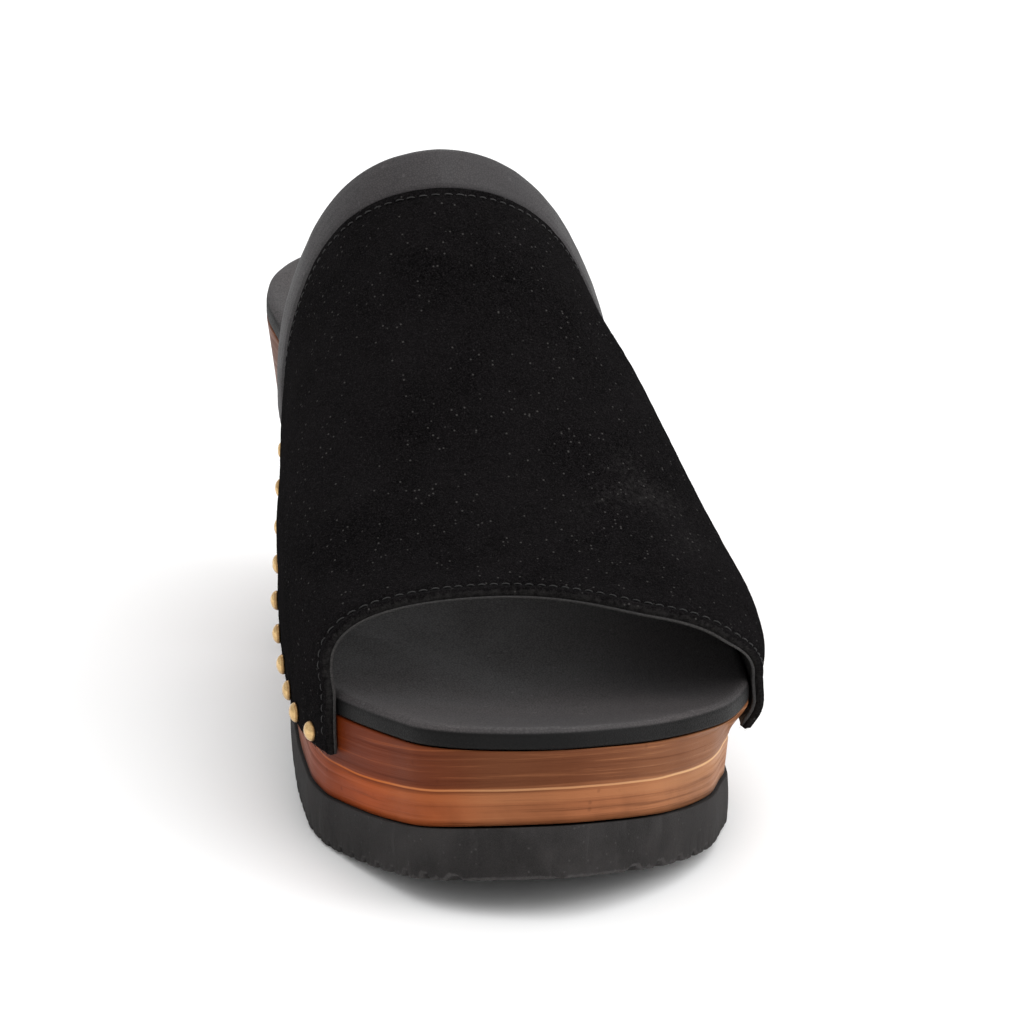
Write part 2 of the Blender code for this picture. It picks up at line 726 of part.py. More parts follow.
main()
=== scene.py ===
"""Dresses an open-toe suede mule with a carved wooden sole, left foot.

All lengths are in metres. +Z is up, the toe points to -Y and the inner (big toe) side is -X.
The origin is on the floor, under the middle of the heel.
"""

import math
import random
from collections import namedtuple

import bmesh
import bpy
import numpy as np
from mathutils import Matrix, Vector, noise


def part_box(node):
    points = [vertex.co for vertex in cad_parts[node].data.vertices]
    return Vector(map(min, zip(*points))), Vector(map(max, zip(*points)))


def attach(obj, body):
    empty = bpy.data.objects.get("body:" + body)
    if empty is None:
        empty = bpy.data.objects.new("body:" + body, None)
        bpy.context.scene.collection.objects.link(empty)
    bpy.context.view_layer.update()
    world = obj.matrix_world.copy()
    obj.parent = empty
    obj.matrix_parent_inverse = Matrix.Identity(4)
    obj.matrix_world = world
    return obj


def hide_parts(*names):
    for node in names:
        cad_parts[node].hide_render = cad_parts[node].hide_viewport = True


bl_info = {
    "name": "Suede Mule",
    "version": (1, 0, 0),
    "blender": (4, 5, 0),
    "location": "3D View > Sidebar > Mule",
    "description": "Dresses the packed solids of a suede mule with leather, wood, rubber and stitches",
    "category": "Add Mesh",
}

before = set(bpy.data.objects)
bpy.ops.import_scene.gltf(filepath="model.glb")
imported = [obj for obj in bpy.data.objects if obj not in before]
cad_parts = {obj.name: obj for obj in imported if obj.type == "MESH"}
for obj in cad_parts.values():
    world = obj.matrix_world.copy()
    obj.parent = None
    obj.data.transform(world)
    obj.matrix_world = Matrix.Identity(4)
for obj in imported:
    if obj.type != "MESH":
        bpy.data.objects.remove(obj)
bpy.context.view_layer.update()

# The sizes that the solids were made from
SOLE_LENGTH = 0.228
BALL_WIDTH = 0.094
SEAT_WIDTH = 0.066
SEAT_HEIGHT = 0.0755
FOREPART_THICKNESS = 0.0155
OUTSOLE_THICKNESS = 0.011
OUTSOLE_BACK_THICKNESS = 0.0035
OUTSOLE_START_SHARE = 0.41
OUTSOLE_FULL_SHARE = 0.585
HEEL_LIFT_THICKNESS = 0.009
HEEL_BASE_LENGTH = 0.057
BREAST_RUN = 0.022
TOE_SPRING = 0.0090
CUP_DEPTH = 0.0022
ARCH_RISE = 0.0035
FOOTBED_THICKNESS = 0.0045
RUBBER_LIP = 0.0007
RIB_PITCH = 0.005
RIB_DEPTH = 0.0013
RIB_LAND_SHARE = 0.46
RIB_FLANK_SHARE = 0.16
INSTEP_HEIGHT = 0.0620
SIDE_BULGE = 0.0035
SUEDE_WALL = 0.0022
COLLAR_WALL = 0.0030
COLLAR_BAND = 0.0095
INNER_OVERLAP = 0.0080
OUTER_OVERLAP = 0.0048
NAIL_HEAD_RADIUS = 0.0021
NAIL_HEAD_HEIGHT = 0.0011
NAIL_PITCH = 0.0101
NAIL_ABOVE_EDGE = 0.0033
NAIL_FROM_FRONT = 0.0068
OUTER_NAIL_FROM_FRONT = 0.0130
GAP = 0.0003
HEEL_LEAN = 0.070
FOREPART_LEAN = 0.040
OUTER_BALL_LEAN = 0.100
HEEL_WAIST = 0.0014
OUTER_TUCK = 0.0033
TUCK_DEPTH = 0.0075
FRONT_TUCK_DEPTH = 0.0010
TUCK_SHARPENS = (0.790, 0.815)
TUCK_FADE = (0.81, 0.95)
FLAP_SHARE = 0.1
WIDTH_BLEND_START = 0.225
WIDTH_BLEND_END = 0.605
JOINT_SHARE = 0.50

INNER, OUTER = -1, 1

# Finer forms that only this script makes
TOP_EDGE_SHARE = 0.6
JOINT_LINE_DEPTH = 0.00025
JOINT_LINE_HALF_HEIGHT = 0.00035
JOINT_BEGINS, JOINT_FULL = 0.50, 0.665
GRAIN_FOLLOWS = (-0.085, -0.125)
TREAD_EDGE = 0.0009
TREAD_LIP = 0.00035
TREAD_BELLY = 0.00022
TIP_RIBS_FADE = 0.0100
END_RIBS_FADE = 0.0024
PAD_LOWER_EDGE = 0.0005
CORNER_CURL = 0.0007
CORNER_CURL_REACH = 0.013
STITCH_GROOVE_WIDTH = 0.0008
LIP_HEIGHT, LIP_FROM_EDGE, LIP_WIDTH = 0.00028, 0.0009, 0.0007
RAW_EDGE_DROP = 0.0007
WORN_EDGE_WIDTH = 0.0014
THREAD_SEAT = 0.0002
STITCH_DIP, STITCH_RISE = 0.00030, 0.00034
FIBRE_RADIUS = 0.000022
ON_FLAP_EDGE = 0.004

# Where a painted sheen lightens the suede's outer side, standing for the light that falls there: its middle
# and spread along the shoe and round the girth
PAINTED_SHEEN_ALONG, PAINTED_SHEEN_ALONG_SPREAD = 0.700, 0.09
PAINTED_SHEEN_GIRTH, PAINTED_SHEEN_GIRTH_SPREAD = 0.66, 0.13

# The collar's thickness from topline to seam, as shares of COLLAR_WALL
PUFF_PLACES = [0.0, 0.05, 0.15, 0.35, 0.6, 0.8, 0.93, 1.0]
PUFF_SHARES = [0.80, 0.92, 1.04, 1.12, 1.10, 1.02, 0.90, 0.74]

FLOOR_REACH = 4.0
CAMERA_PLACE = (-0.19165, -1.33314, 0.44711)
CAMERA_AIM = (0.0088, -0.0850, 0.0490)
LIGHT_AIM = (0.0, -0.08, 0.05)

Outline = namedtuple("Outline", "along inner outer")
OUTLINE = [
    Outline(0.000, 0.000, 0.000),
    Outline(0.040, 0.325, 0.315),
    Outline(0.080, 0.430, 0.415),
    Outline(0.130, 0.500, 0.475),
    Outline(0.190, 0.530, 0.492),
    Outline(0.270, 0.502, 0.477),
    Outline(0.360, 0.455, 0.446),
    Outline(0.430, 0.446, 0.436),
    Outline(0.500, 0.436, 0.446),
    Outline(0.585, 0.443, 0.470),
    Outline(0.670, 0.450, 0.503),
    Outline(0.730, 0.450, 0.518),
    Outline(0.780, 0.434, 0.510),
    Outline(0.820, 0.403, 0.478),
    Outline(0.865, 0.364, 0.425),
    Outline(0.905, 0.323, 0.347),
    Outline(0.940, 0.283, 0.262),
    Outline(0.970, 0.213, 0.174),
    Outline(0.990, 0.120, 0.092),
    Outline(1.000, -0.008, 0.008),
]

# rise and under are shares of the climb from ball to seat, spring of the toe spring,
# cup of the footbed's dish, arch of its inner lift
Side = namedtuple("Side", "along rise under spring cup arch")
SIDE = [
    Side(0.000, 1.000, 0.640, 0.00, 0.00, 0.00),
    Side(0.100, 0.995, 0.640, 0.00, 1.00, 0.00),
    Side(0.180, 0.965, 0.640, 0.00, 0.90, 0.05),
    Side(0.275, 0.870, 0.600, 0.00, 0.70, 0.40),
    Side(0.380, 0.665, 0.470, 0.00, 0.45, 0.95),
    Side(0.480, 0.415, 0.275, 0.00, 0.30, 0.95),
    Side(0.585, 0.190, 0.090, 0.00, 0.25, 0.90),
    Side(0.665, 0.073, 0.008, 0.00, 0.25, 0.80),
    Side(0.710, 0.038, 0.000, 0.00, 0.25, 0.75),
    Side(0.770, 0.010, 0.000, 0.00, 0.25, 0.78),
    Side(0.860, 0.000, 0.000, 0.22, 0.25, 0.75),
    Side(0.940, 0.000, 0.000, 0.58, 0.25, 0.45),
    Side(1.000, 0.000, 0.000, 1.00, 0.00, 0.00),
]

# height is a share of INSTEP_HEIGHT above the footbed's edge, ridge of half the ball width,
# inner_power and outer_power shape each side's shoulder, the bulges are shares of SIDE_BULGE
Section = namedtuple("Section", "along height ridge inner_power outer_power inner_bulge outer_bulge")
SECTIONS = [
    Section(0.275, 1.135, -0.06, 1.24, 1.36, 0.1, 0.1),
    Section(0.380, 1.062, -0.08, 1.24, 1.38, 0.1, 0.1),
    Section(0.430, 1.005, -0.10, 1.20, 1.30, 0.2, 0.2),
    Section(0.520, 0.880, -0.12, 1.05, 1.08, 0.4, 0.3),
    Section(0.605, 0.720, -0.14, 0.93, 1.00, 0.7, 0.6),
    Section(0.690, 0.545, -0.16, 0.84, 0.90, 0.9, 0.9),
    Section(0.770, 0.405, -0.18, 0.78, 0.82, 1.0, 1.1),
    Section(0.855, 0.290, -0.18, 0.76, 0.78, 0.8, 0.8),
    Section(0.915, 0.210, -0.16, 0.76, 0.78, 0.4, 0.4),
]

# Where the upper's two free edges run, as shares of the length: over the ridge, down the inner side
# and down the outer side. outer_peak is how far forward the edge reaches between ridge and outer side
Edge = namedtuple("Edge", "ridge inner outer outer_peak")
TOPLINE = Edge(0.420, 0.322, 0.322, None)
TOE_OPENING = Edge(0.824, 0.814, 0.790, 0.847)
PEAK_FROM_RIDGE = math.radians(32)
PEAK_FROM_SIDE = math.radians(33)


# Curves and levels of the sole

def smooth_curve(xs, ys):
    """A curve through the rows of a table that never overshoots them (monotone cubic)."""
    xs, ys = np.array(xs, float), np.array(ys, float)
    step = np.diff(xs)
    slope = np.diff(ys) / step
    tangent = np.zeros(len(xs))
    tangent[0], tangent[-1] = slope[0], slope[-1]
    for i in range(1, len(xs) - 1):
        if slope[i - 1] * slope[i] > 0:
            before, after = 2 * step[i] + step[i - 1], step[i] + 2 * step[i - 1]
            tangent[i] = (before + after) / (before / slope[i - 1] + after / slope[i])

    def value(x):
        x = np.clip(x, xs[0], xs[-1])
        i = np.clip(np.searchsorted(xs, x) - 1, 0, len(step) - 1)
        u = (x - xs[i]) / step[i]
        return (
            (1 + 2 * u) * (1 - u) ** 2 * ys[i]
            + u * (1 - u) ** 2 * step[i] * tangent[i]
            + u * u * (3 - 2 * u) * ys[i + 1]
            + u * u * (u - 1) * step[i] * tangent[i + 1]
        )

    return value


def column(table, name):
    return smooth_curve([row.along for row in table], [getattr(row, name) for row in table])


def turn(along):
    """The length share as an angle share, which keeps the round heel and toe smooth."""
    return np.arccos(np.clip(1 - 2 * np.asarray(along, float), -1.0, 1.0)) / math.pi


def eased(x, start, end):
    u = np.clip((x - start) / (end - start), 0.0, 1.0)
    return u * u * (3 - 2 * u)


def bell(distance, width):
    """1 at no distance, fading away over this width."""
    return np.exp(-((distance / width) ** 2))


side_of = {name: column(SIDE, name) for name in Side._fields[1:]}
section_of = {name: column(SECTIONS, name) for name in Section._fields[1:]}
inner_outline = smooth_curve([turn(row.along) for row in OUTLINE], [-row.inner for row in OUTLINE])
outer_outline = smooth_curve([turn(row.along) for row in OUTLINE], [row.outer for row in OUTLINE])

WOOD_BOTTOM = OUTSOLE_THICKNESS + GAP
BALL_TOP = WOOD_BOTTOM + FOREPART_THICKNESS
CLIMB = SEAT_HEIGHT - BALL_TOP
HEEL_BLOCK_BOTTOM = HEEL_LIFT_THICKNESS + GAP
BREAST_FOOT = HEEL_BASE_LENGTH / SOLE_LENGTH
BREAST_TOP = (HEEL_BASE_LENGTH + BREAST_RUN) / SOLE_LENGTH
HEEL_BACK_Y = HEEL_BASE_LENGTH / 2


def y_at(along):
    return HEEL_BACK_Y - along * SOLE_LENGTH


def along_at(y):
    return (HEEL_BACK_Y - y) / SOLE_LENGTH


def top_level(along):
    """Height of the wood's top edge."""
    return BALL_TOP + CLIMB * side_of["rise"](along) + TOE_SPRING * side_of["spring"](along)


def arch_level(along):
    """Height of the wood's underside in front of the heel block."""
    return WOOD_BOTTOM + CLIMB * side_of["under"](along) + TOE_SPRING * side_of["spring"](along)


def under_level(along):
    """Height of the wood's underside, down the heel's breast and under the heel block."""
    along = np.asarray(along, float)
    share = np.clip((along - BREAST_FOOT) / (BREAST_TOP - BREAST_FOOT), 0.0, 1.0)
    top_of_breast = arch_level(BREAST_TOP)
    breast = HEEL_BLOCK_BOTTOM + (top_of_breast - HEEL_BLOCK_BOTTOM) * np.sqrt(1 - (1 - share) ** 2)
    return np.where(along >= BREAST_TOP, arch_level(along), breast)


def wood_top(along, across):
    """Height of the wood's top, dished and lifted at the arch. across runs from -1, inner, to 1, outer."""
    cup = CUP_DEPTH * side_of["cup"](along) * (across * across - 1)
    arch = ARCH_RISE * side_of["arch"](along) * np.maximum(0.0, -across) ** 2
    return top_level(along) + cup + arch


def rim(along, side):
    """The sole's outline seen from above, and the direction straight out of it."""
    along, side = np.broadcast_arrays(np.asarray(along, float), np.asarray(side, float))

    def point(share):
        share = np.clip(share, 0.0, 1.0)
        blend = eased(share, WIDTH_BLEND_START, WIDTH_BLEND_END)
        width = SEAT_WIDTH + (BALL_WIDTH - SEAT_WIDTH) * blend
        x = np.where(side < 0, inner_outline(turn(share)), outer_outline(turn(share))) * width
        return np.stack([x, y_at(share)], -1)

    reach = 0.25 * np.clip(np.minimum(along, 1 - along), 1e-9, 0.02)
    run = point(along + reach) - point(along - reach)
    out = np.stack([-run[..., 1] * side, run[..., 0] * side], -1)
    out /= np.maximum(np.linalg.norm(out, axis=-1, keepdims=True), 1e-12)
    out = np.where((along <= 0.0)[..., None], np.array([0.0, 1.0]), out)
    out = np.where((along >= 1.0)[..., None], np.array([0.0, -1.0]), out)
    return point(along), out


def wall_inset(along, side, level):
    """How far the wood's side has leaned in at this height."""
    top = top_level(along)
    forward = eased(along, BREAST_FOOT, WIDTH_BLEND_END)
    lean = HEEL_LEAN + (FOREPART_LEAN - HEEL_LEAN) * forward
    drop = np.maximum(0.0, top - level)
    height = top - under_level(along)
    waist = HEEL_WAIST * (1 - forward) * np.sin(math.pi * np.minimum(1.0, drop / height))
    ball = np.where(side < 0, 0.0, forward * (1 - eased(along, *TUCK_FADE)))
    lean = lean + (OUTER_BALL_LEAN - lean) * ball
    depth = TUCK_DEPTH + (FRONT_TUCK_DEPTH - TUCK_DEPTH) * eased(along, *TUCK_SHARPENS)
    return lean * drop + waist + OUTER_TUCK * ball * eased(drop, 0.0, depth)


def side_point(along, side, level, proud=0.0):
    """Points on the wood's side at this height, or proud of it by a distance."""
    base, out = rim(along, side)
    shift = proud - wall_inset(along, side, level)
    flat = base + out * np.asarray(shift)[..., None]
    return np.concatenate([flat, np.broadcast_to(level, flat.shape[:-1])[..., None]], -1)


# The curved surface of the upper

def spring_level(along, side):
    """Height of the footbed's edge, where the upper leaves the sole's side."""
    return wood_top(along, side) + GAP + FOOTBED_THICKNESS


def flap_drop(side):
    """How far the upper reaches down from the footbed's edge, over the wood's side."""
    return FOOTBED_THICKNESS + GAP + np.where(side < 0, INNER_OVERLAP, OUTER_OVERLAP)


def upper_inside(along, girth):
    """Points on the upper's inner face. girth runs 0 to 1 from inner edge over the ridge to outer edge."""
    along, girth = np.broadcast_arrays(np.asarray(along, float), np.asarray(girth, float))
    side = np.where(girth < 0.5, INNER, OUTER)
    climb = np.minimum(girth, 1 - girth)
    spring = spring_level(along, side)
    level = spring - flap_drop(side) * (1 - np.minimum(1.0, climb / FLAP_SHARE))
    flap = side_point(along, side, level, GAP)
    angle = np.clip((climb - FLAP_SHARE) / (0.5 - FLAP_SHARE), 0.0, 1.0) * math.pi / 2
    base, out = rim(along, side)
    foot = base + out * GAP
    ridge_x = section_of["ridge"](along) * BALL_WIDTH / 2
    middle = (spring_level(along, INNER) + spring_level(along, OUTER)) / 2
    ridge_level = middle + INSTEP_HEIGHT * section_of["height"](along)
    power = np.where(side < 0, section_of["inner_power"](along), section_of["outer_power"](along))
    bulge = np.where(side < 0, section_of["inner_bulge"](along), section_of["outer_bulge"](along))
    bulge = bulge * SIDE_BULGE
    reach = np.maximum(0.0, np.cos(angle)) ** power
    lift = np.sin(angle) ** power
    x = ridge_x + (foot[..., 0] - ridge_x) * reach + out[..., 0] * bulge * np.sin(2 * angle)
    y = foot[..., 1] + out[..., 1] * bulge * np.sin(2 * angle)
    over = np.stack([x, y, spring + (ridge_level - spring) * lift], -1)
    return np.where((climb <= FLAP_SHARE)[..., None], flap, over)


def unit(vectors):
    return vectors / np.maximum(np.linalg.norm(vectors, axis=-1, keepdims=True), 1e-12)


def upper_out(along, girth):
    """The direction straight out of the upper's inner face."""
    step = 0.004
    lower, higher = np.maximum(0.0, girth - step), np.minimum(1.0, girth + step)
    across = upper_inside(along, higher) - upper_inside(along, lower)
    forward = upper_inside(along + step, girth) - upper_inside(along - step, girth)
    return unit(np.cross(forward, across))


def edge_share(edge, girth):
    """Where a free edge of the upper runs at this place round its girth."""
    climb = np.minimum(girth, 1 - girth)
    angle = np.maximum(0.0, (climb - FLAP_SHARE) / (0.5 - FLAP_SHARE)) * math.pi / 2
    end = np.where(np.asarray(girth) < 0.5, edge.inner, edge.outer)
    plain = edge.ridge + (end - edge.ridge) * np.cos(angle) ** 2
    if edge.outer_peak is None:
        return plain
    forward = (edge.outer_peak - edge.ridge) * eased(math.pi / 2 - angle, 0.0, PEAK_FROM_RIDGE)
    back = (edge.outer_peak - edge.outer) * np.maximum(0.0, 1 - angle / PEAK_FROM_SIDE) ** 1.7
    return np.where(np.asarray(girth) < 0.5, plain, edge.ridge + forward - back)


def toward_toe(start, girth, distance):
    """The length share that lies a distance toward the toe, measured along the upper."""
    step = 0.01
    run = np.linalg.norm(upper_inside(start + step, girth) - upper_inside(start, girth), axis=-1)
    return start + step * distance / run


def seam_share(girth):
    """Where the collar meets the suede."""
    return toward_toe(edge_share(TOPLINE, girth), girth, COLLAR_BAND)


def even_girths(count):
    """Places round the upper at even distances, measured over its middle."""
    fine = np.linspace(0.0, 1.0, 4001)
    run = np.linalg.norm(np.diff(upper_inside(0.62, fine), axis=0), axis=-1)
    far = np.concatenate([[0.0], np.cumsum(run)])
    return np.interp(np.linspace(0.0, far[-1], count), far, fine)


def quarter_turn(count):
    return np.linspace(0.0, math.pi / 2, count)


def close_at_ends(count):
    """Shares from 0 to 1 that crowd at both ends."""
    return (1 - np.cos(np.linspace(0.0, math.pi, count))) / 2


# Mesh making

def mesh_piece(name, points, faces, replaced, wear=None, height=None, materials=()):
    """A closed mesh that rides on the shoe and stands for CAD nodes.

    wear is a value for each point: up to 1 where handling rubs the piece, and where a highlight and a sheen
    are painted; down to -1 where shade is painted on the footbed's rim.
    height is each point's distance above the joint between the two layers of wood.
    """
    mesh = bpy.data.meshes.new(name)
    mesh.from_pydata(points.tolist(), [], faces)
    for label, stored in (("wear", wear), ("above_joint", height)):
        if stored is not None:
            kept = mesh.attributes.new(label, "FLOAT", "POINT")
            kept.data.foreach_set("value", np.asarray(stored, np.float32))
    shell = bmesh.new()
    shell.from_mesh(mesh)
    bmesh.ops.remove_doubles(shell, verts=shell.verts, dist=2e-6)
    bmesh.ops.dissolve_degenerate(shell, edges=shell.edges, dist=1e-7)
    bmesh.ops.recalc_face_normals(shell, faces=shell.faces)
    if shell.calc_volume(signed=True) < 0:
        bmesh.ops.reverse_faces(shell, faces=shell.faces)
    shell.to_mesh(mesh)
    shell.free()
    mesh.shade_smooth()
    for finish in materials:
        mesh.materials.append(finish)
    piece = bpy.data.objects.new(name, mesh)
    bpy.context.scene.collection.objects.link(piece)
    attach(piece, "root")
    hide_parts(*replaced)
    return piece


def ring_faces(rings, size, closed=True):
    """Quads between rings that follow one another."""
    faces = []
    for i in range(rings - 1):
        for j in range(size if closed else size - 1):
            k = (j + 1) % size
            faces.append((i * size + j, i * size + k, (i + 1) * size + k, (i + 1) * size + j))
    return faces


def between(start, end, count):
    """count points from start to end for every station, ends included."""
    share = np.linspace(0.0, 1.0, count)[None, :, None]
    return start[:, None, :] * (1 - share) + end[:, None, :] * share


def rumple(points, size, seed):
    """A smooth value between about -1 and 1 at each point, from folds of this size."""
    shift = Vector((seed * 17.3, seed * 5.1, seed * 9.7))
    values = [noise.noise(Vector(point) / size + shift) for point in points.reshape(-1, 3)]
    return np.array(values).reshape(points.shape[:-1])


# Node helpers

class Nodes:
    """Adds nodes to one tree and links what they are given."""

    def __init__(self, tree):
        self.tree = tree

    def add(self, kind, inputs=None, **settings):
        made = self.tree.nodes.new("ShaderNode" + kind)
        for key, value in settings.items():
            setattr(made, key, value)
        for key, value in (inputs or {}).items():
            self.feed(made.inputs[key], value)
        return made

    def feed(self, socket, value):
        if isinstance(value, bpy.types.NodeSocket):
            self.tree.links.new(value, socket)
        else:
            socket.default_value = value

    def math(self, operation, first, second=0.0, clamp=False):
        made = self.add("Math", {0: first, 1: second}, operation=operation, use_clamp=clamp)
        return made.outputs[0]

    def mix(self, share, first, second, blend="MIX"):
        """Mixes two colours."""
        made = self.add("Mix", data_type="RGBA", blend_type=blend, clamp_factor=True)
        for socket, value in ((made.inputs[0], share), (made.inputs[6], first), (made.inputs[7], second)):
            self.feed(socket, value)
        return made.outputs[2]

    def span(self, value, low, high, to_low=0.0, to_high=1.0, kind="SMOOTHSTEP"):
        """Maps low..high onto to_low..to_high."""
        made = self.add(
            "MapRange",
            {"Value": value, "From Min": low, "From Max": high, "To Min": to_low, "To Max": to_high},
            interpolation_type=kind,
        )
        return made.outputs["Result"]

    def noise(self, vector, scale, detail=3.0, roughness=0.55, distortion=0.0):
        values = {"Scale": scale, "Detail": detail, "Roughness": roughness, "Distortion": distortion}
        return self.add("TexNoise", {"Vector": vector, **values}).outputs["Fac"]

    def here(self):
        return self.add("TexCoord").outputs["Object"]

    def times(self, first, second):
        return self.math("MULTIPLY", first, second)

    def plus(self, first, second):
        return self.math("ADD", first, second)

    def minus(self, first, second, clamp=False):
        return self.math("SUBTRACT", first, second, clamp)

    def mesh_value(self, name):
        """A value that the mesh stores at its points."""
        return self.add("Attribute", attribute_name=name, attribute_type="GEOMETRY").outputs["Fac"]


def effect(name, inputs, outputs):
    """A shared shader node group with named sockets, and its in and out nodes."""
    group = bpy.data.node_groups.new(name, "ShaderNodeTree")
    for label, kind, default in inputs:
        group.interface.new_socket(label, in_out="INPUT", socket_type=kind).default_value = default
    for label, kind in outputs:
        group.interface.new_socket(label, in_out="OUTPUT", socket_type=kind)
    nodes = Nodes(group)
    return group, nodes, group.nodes.new("NodeGroupInput").outputs, group.nodes.new("NodeGroupOutput").inputs


def place_effect(nodes, group, **values):
    """Places a shared group in a material with its own values."""
    made = nodes.tree.nodes.new("ShaderNodeGroup")
    made.node_tree = group
    for key, value in values.items():
        nodes.feed(made.inputs[key.replace("_", " ").capitalize()], value)
    return made.outputs


def make_streaks():
    """Long streaks in one direction, for wood grain and brushed nap."""
    group, nodes, given, out = effect(
        "streaks",
        [
            ("Shift", "NodeSocketVector", (0.0, 0.0, 0.0)),
            ("Direction", "NodeSocketVector", (0.0, 0.0, 0.0)),
            ("Stretch", "NodeSocketVector", (100.0, 10.0, 100.0)),
            ("Waver", "NodeSocketFloat", 0.3),
            ("Detail", "NodeSocketFloat", 4.0),
        ],
        [("Value", "NodeSocketFloat"), ("Fine", "NodeSocketFloat")],
    )
    place = nodes.here()
    moved = nodes.add("VectorMath", {0: place, 1: given["Shift"]}, operation="ADD")
    turned = nodes.add("Mapping", {"Vector": moved.outputs[0], "Rotation": given["Direction"]})
    spread = nodes.add("VectorMath", {0: turned.outputs[0], 1: given["Stretch"]}, operation="MULTIPLY")
    value = nodes.noise(spread.outputs[0], 1.0, given["Detail"], 0.6, given["Waver"])
    fine = nodes.noise(spread.outputs[0], 3.7, 2.0, 0.5, given["Waver"])
    nodes.feed(out["Value"], value)
    nodes.feed(out["Fine"], fine)
    return group


def make_leather_grain():
    """Small rounded pebbles with creases between them, and pores."""
    group, nodes, given, out = effect(
        "leather_grain",
        [("Pebble size", "NodeSocketFloat", 0.0009), ("Unevenness", "NodeSocketFloat", 0.5)],
        [("Height", "NodeSocketFloat"), ("Crease", "NodeSocketFloat")],
    )
    scale = nodes.math("DIVIDE", 1.0, given["Pebble size"])
    place = nodes.here()
    bent = nodes.add("TexNoise", {"Vector": place, "Scale": nodes.times(scale, 0.35), "Detail": 2.0})
    sway = nodes.add("VectorMath", {0: bent.outputs["Color"], "Scale": 0.0}, operation="SCALE")
    nodes.feed(sway.inputs["Scale"], nodes.times(given["Pebble size"], given["Unevenness"]))
    moved = nodes.add("VectorMath", {0: place, 1: sway.outputs[0]}, operation="ADD").outputs[0]
    cells = nodes.add("TexVoronoi", {"Vector": moved, "Scale": scale}, feature="DISTANCE_TO_EDGE")
    crease = nodes.span(cells.outputs["Distance"], 0.0, 0.22, 1.0, 0.0)
    swell = nodes.noise(place, nodes.times(scale, 0.3), 2.0)
    pores = nodes.noise(place, nodes.times(scale, 2.6), 1.0)
    height = nodes.minus(nodes.times(swell, 0.7), nodes.times(crease, 0.6))
    nodes.feed(out["Height"], nodes.plus(height, nodes.times(pores, 0.25)))
    nodes.feed(out["Crease"], crease)
    return group


def make_handling():
    """Cloudy patches where hands, feet and dust have changed a surface; its rubbed parts, which also carry
    painted highlights and painted sheen; and painted shade where the wear values fall below zero.
    """
    group, nodes, given, out = effect(
        "handling",
        [
            ("Patch size", "NodeSocketFloat", 0.02),
            ("Edge wear", "NodeSocketFloat", 0.5),
            ("Contrast", "NodeSocketFloat", 0.5),
        ],
        [("Patches", "NodeSocketFloat"), ("Rubbed_and_painted_light", "NodeSocketFloat"), ("Painted_shade", "NodeSocketFloat")],
    )
    place = nodes.here()
    scale = nodes.math("DIVIDE", 1.0, given["Patch size"])
    cloud = nodes.noise(place, scale, 4.0, 0.6, 0.4)
    low = nodes.plus(nodes.times(given["Contrast"], 0.2), 0.2)
    nodes.feed(out["Patches"], nodes.span(cloud, low, 0.72))
    worn = nodes.mesh_value("wear")
    grit = nodes.noise(place, 900.0, 3.0, 0.7)
    # Rubbed wear, which also carries the painted highlights and the painted sheen that the wear values mark.
    broken = nodes.span(nodes.plus(worn, nodes.minus(grit, 0.55)), 0.45, 0.95)
    nodes.feed(out["Rubbed_and_painted_light"], nodes.times(broken, given["Edge wear"]))
    # Painted shade, where the wear values fall below zero: the footbed rim's side band.
    nodes.feed(out["Painted_shade"], nodes.span(worn, -0.1, -0.9))
    return group


def make_specks():
    """Tiny pale specks, such as lint, dust and mineral grains."""
    group, nodes, given, out = effect(
        "specks",
        [("Spacing", "NodeSocketFloat", 0.001), ("Share", "NodeSocketFloat", 0.1)],
        [("Mask", "NodeSocketFloat")],
    )
    place = nodes.here()
    scale = nodes.math("DIVIDE", 1.0, given["Spacing"])
    cells = nodes.add("TexVoronoi", {"Vector": place, "Scale": scale}, feature="F1")
    picked = nodes.add("SeparateColor", {0: cells.outputs["Color"]}).outputs[0]
    chosen = nodes.math("LESS_THAN", picked, given["Share"])
    dot = nodes.span(cells.outputs["Distance"], 0.10, 0.34, 1.0, 0.0)
    nodes.feed(out["Mask"], nodes.times(chosen, dot))
    return group


def new_material(name):
    """An empty material with one principled shader, its nodes and its output."""
    made = bpy.data.materials.new(name)
    made.use_nodes = True
    made.node_tree.nodes.clear()
    nodes = Nodes(made.node_tree)
    shader = nodes.add("BsdfPrincipled")
    nodes.add("OutputMaterial", {"Surface": shader.outputs[0]})
    return made, nodes, shader


def shaded(colour, factors, lift=0.0):
    """The colour with its channels multiplied, by one factor or by three, and lifted."""
    factors = factors if isinstance(factors, tuple) else (factors,) * 3
    return tuple(min(1.0, c * k + lift) for c, k in zip(colour[:3], factors)) + (1.0,)


def set_shader(nodes, shader, **values):
    for key, value in values.items():
        nodes.feed(shader.inputs[key.replace("_", " ").title().replace("Ior", "IOR")], value)


def bump(nodes, height, distance, strength=1.0, below=None):
    inputs = {"Height": height, "Distance": distance, "Strength": strength}
    if below is not None:
        inputs["Normal"] = below
    return nodes.add("Bump", inputs).outputs[0]


effects = {}
finishes = {}


def shared_effects():
    if not effects:
        effects.update(
            streaks=make_streaks(), grain=make_leather_grain(), handling=make_handling(), specks=make_specks()
        )
    return effects


def made_once(build):
    """Makes a finish when its name is first asked for, and gives the same one after that.

    build gets the nodes, the shader, the shared effects and the finish's own values.
    """

    def finish(name, *values):
        if name not in finishes:
            finishes[name], nodes, shader = new_material(name)
            build(nodes, shader, shared_effects(), *values)
        return finishes[name]

    return finish


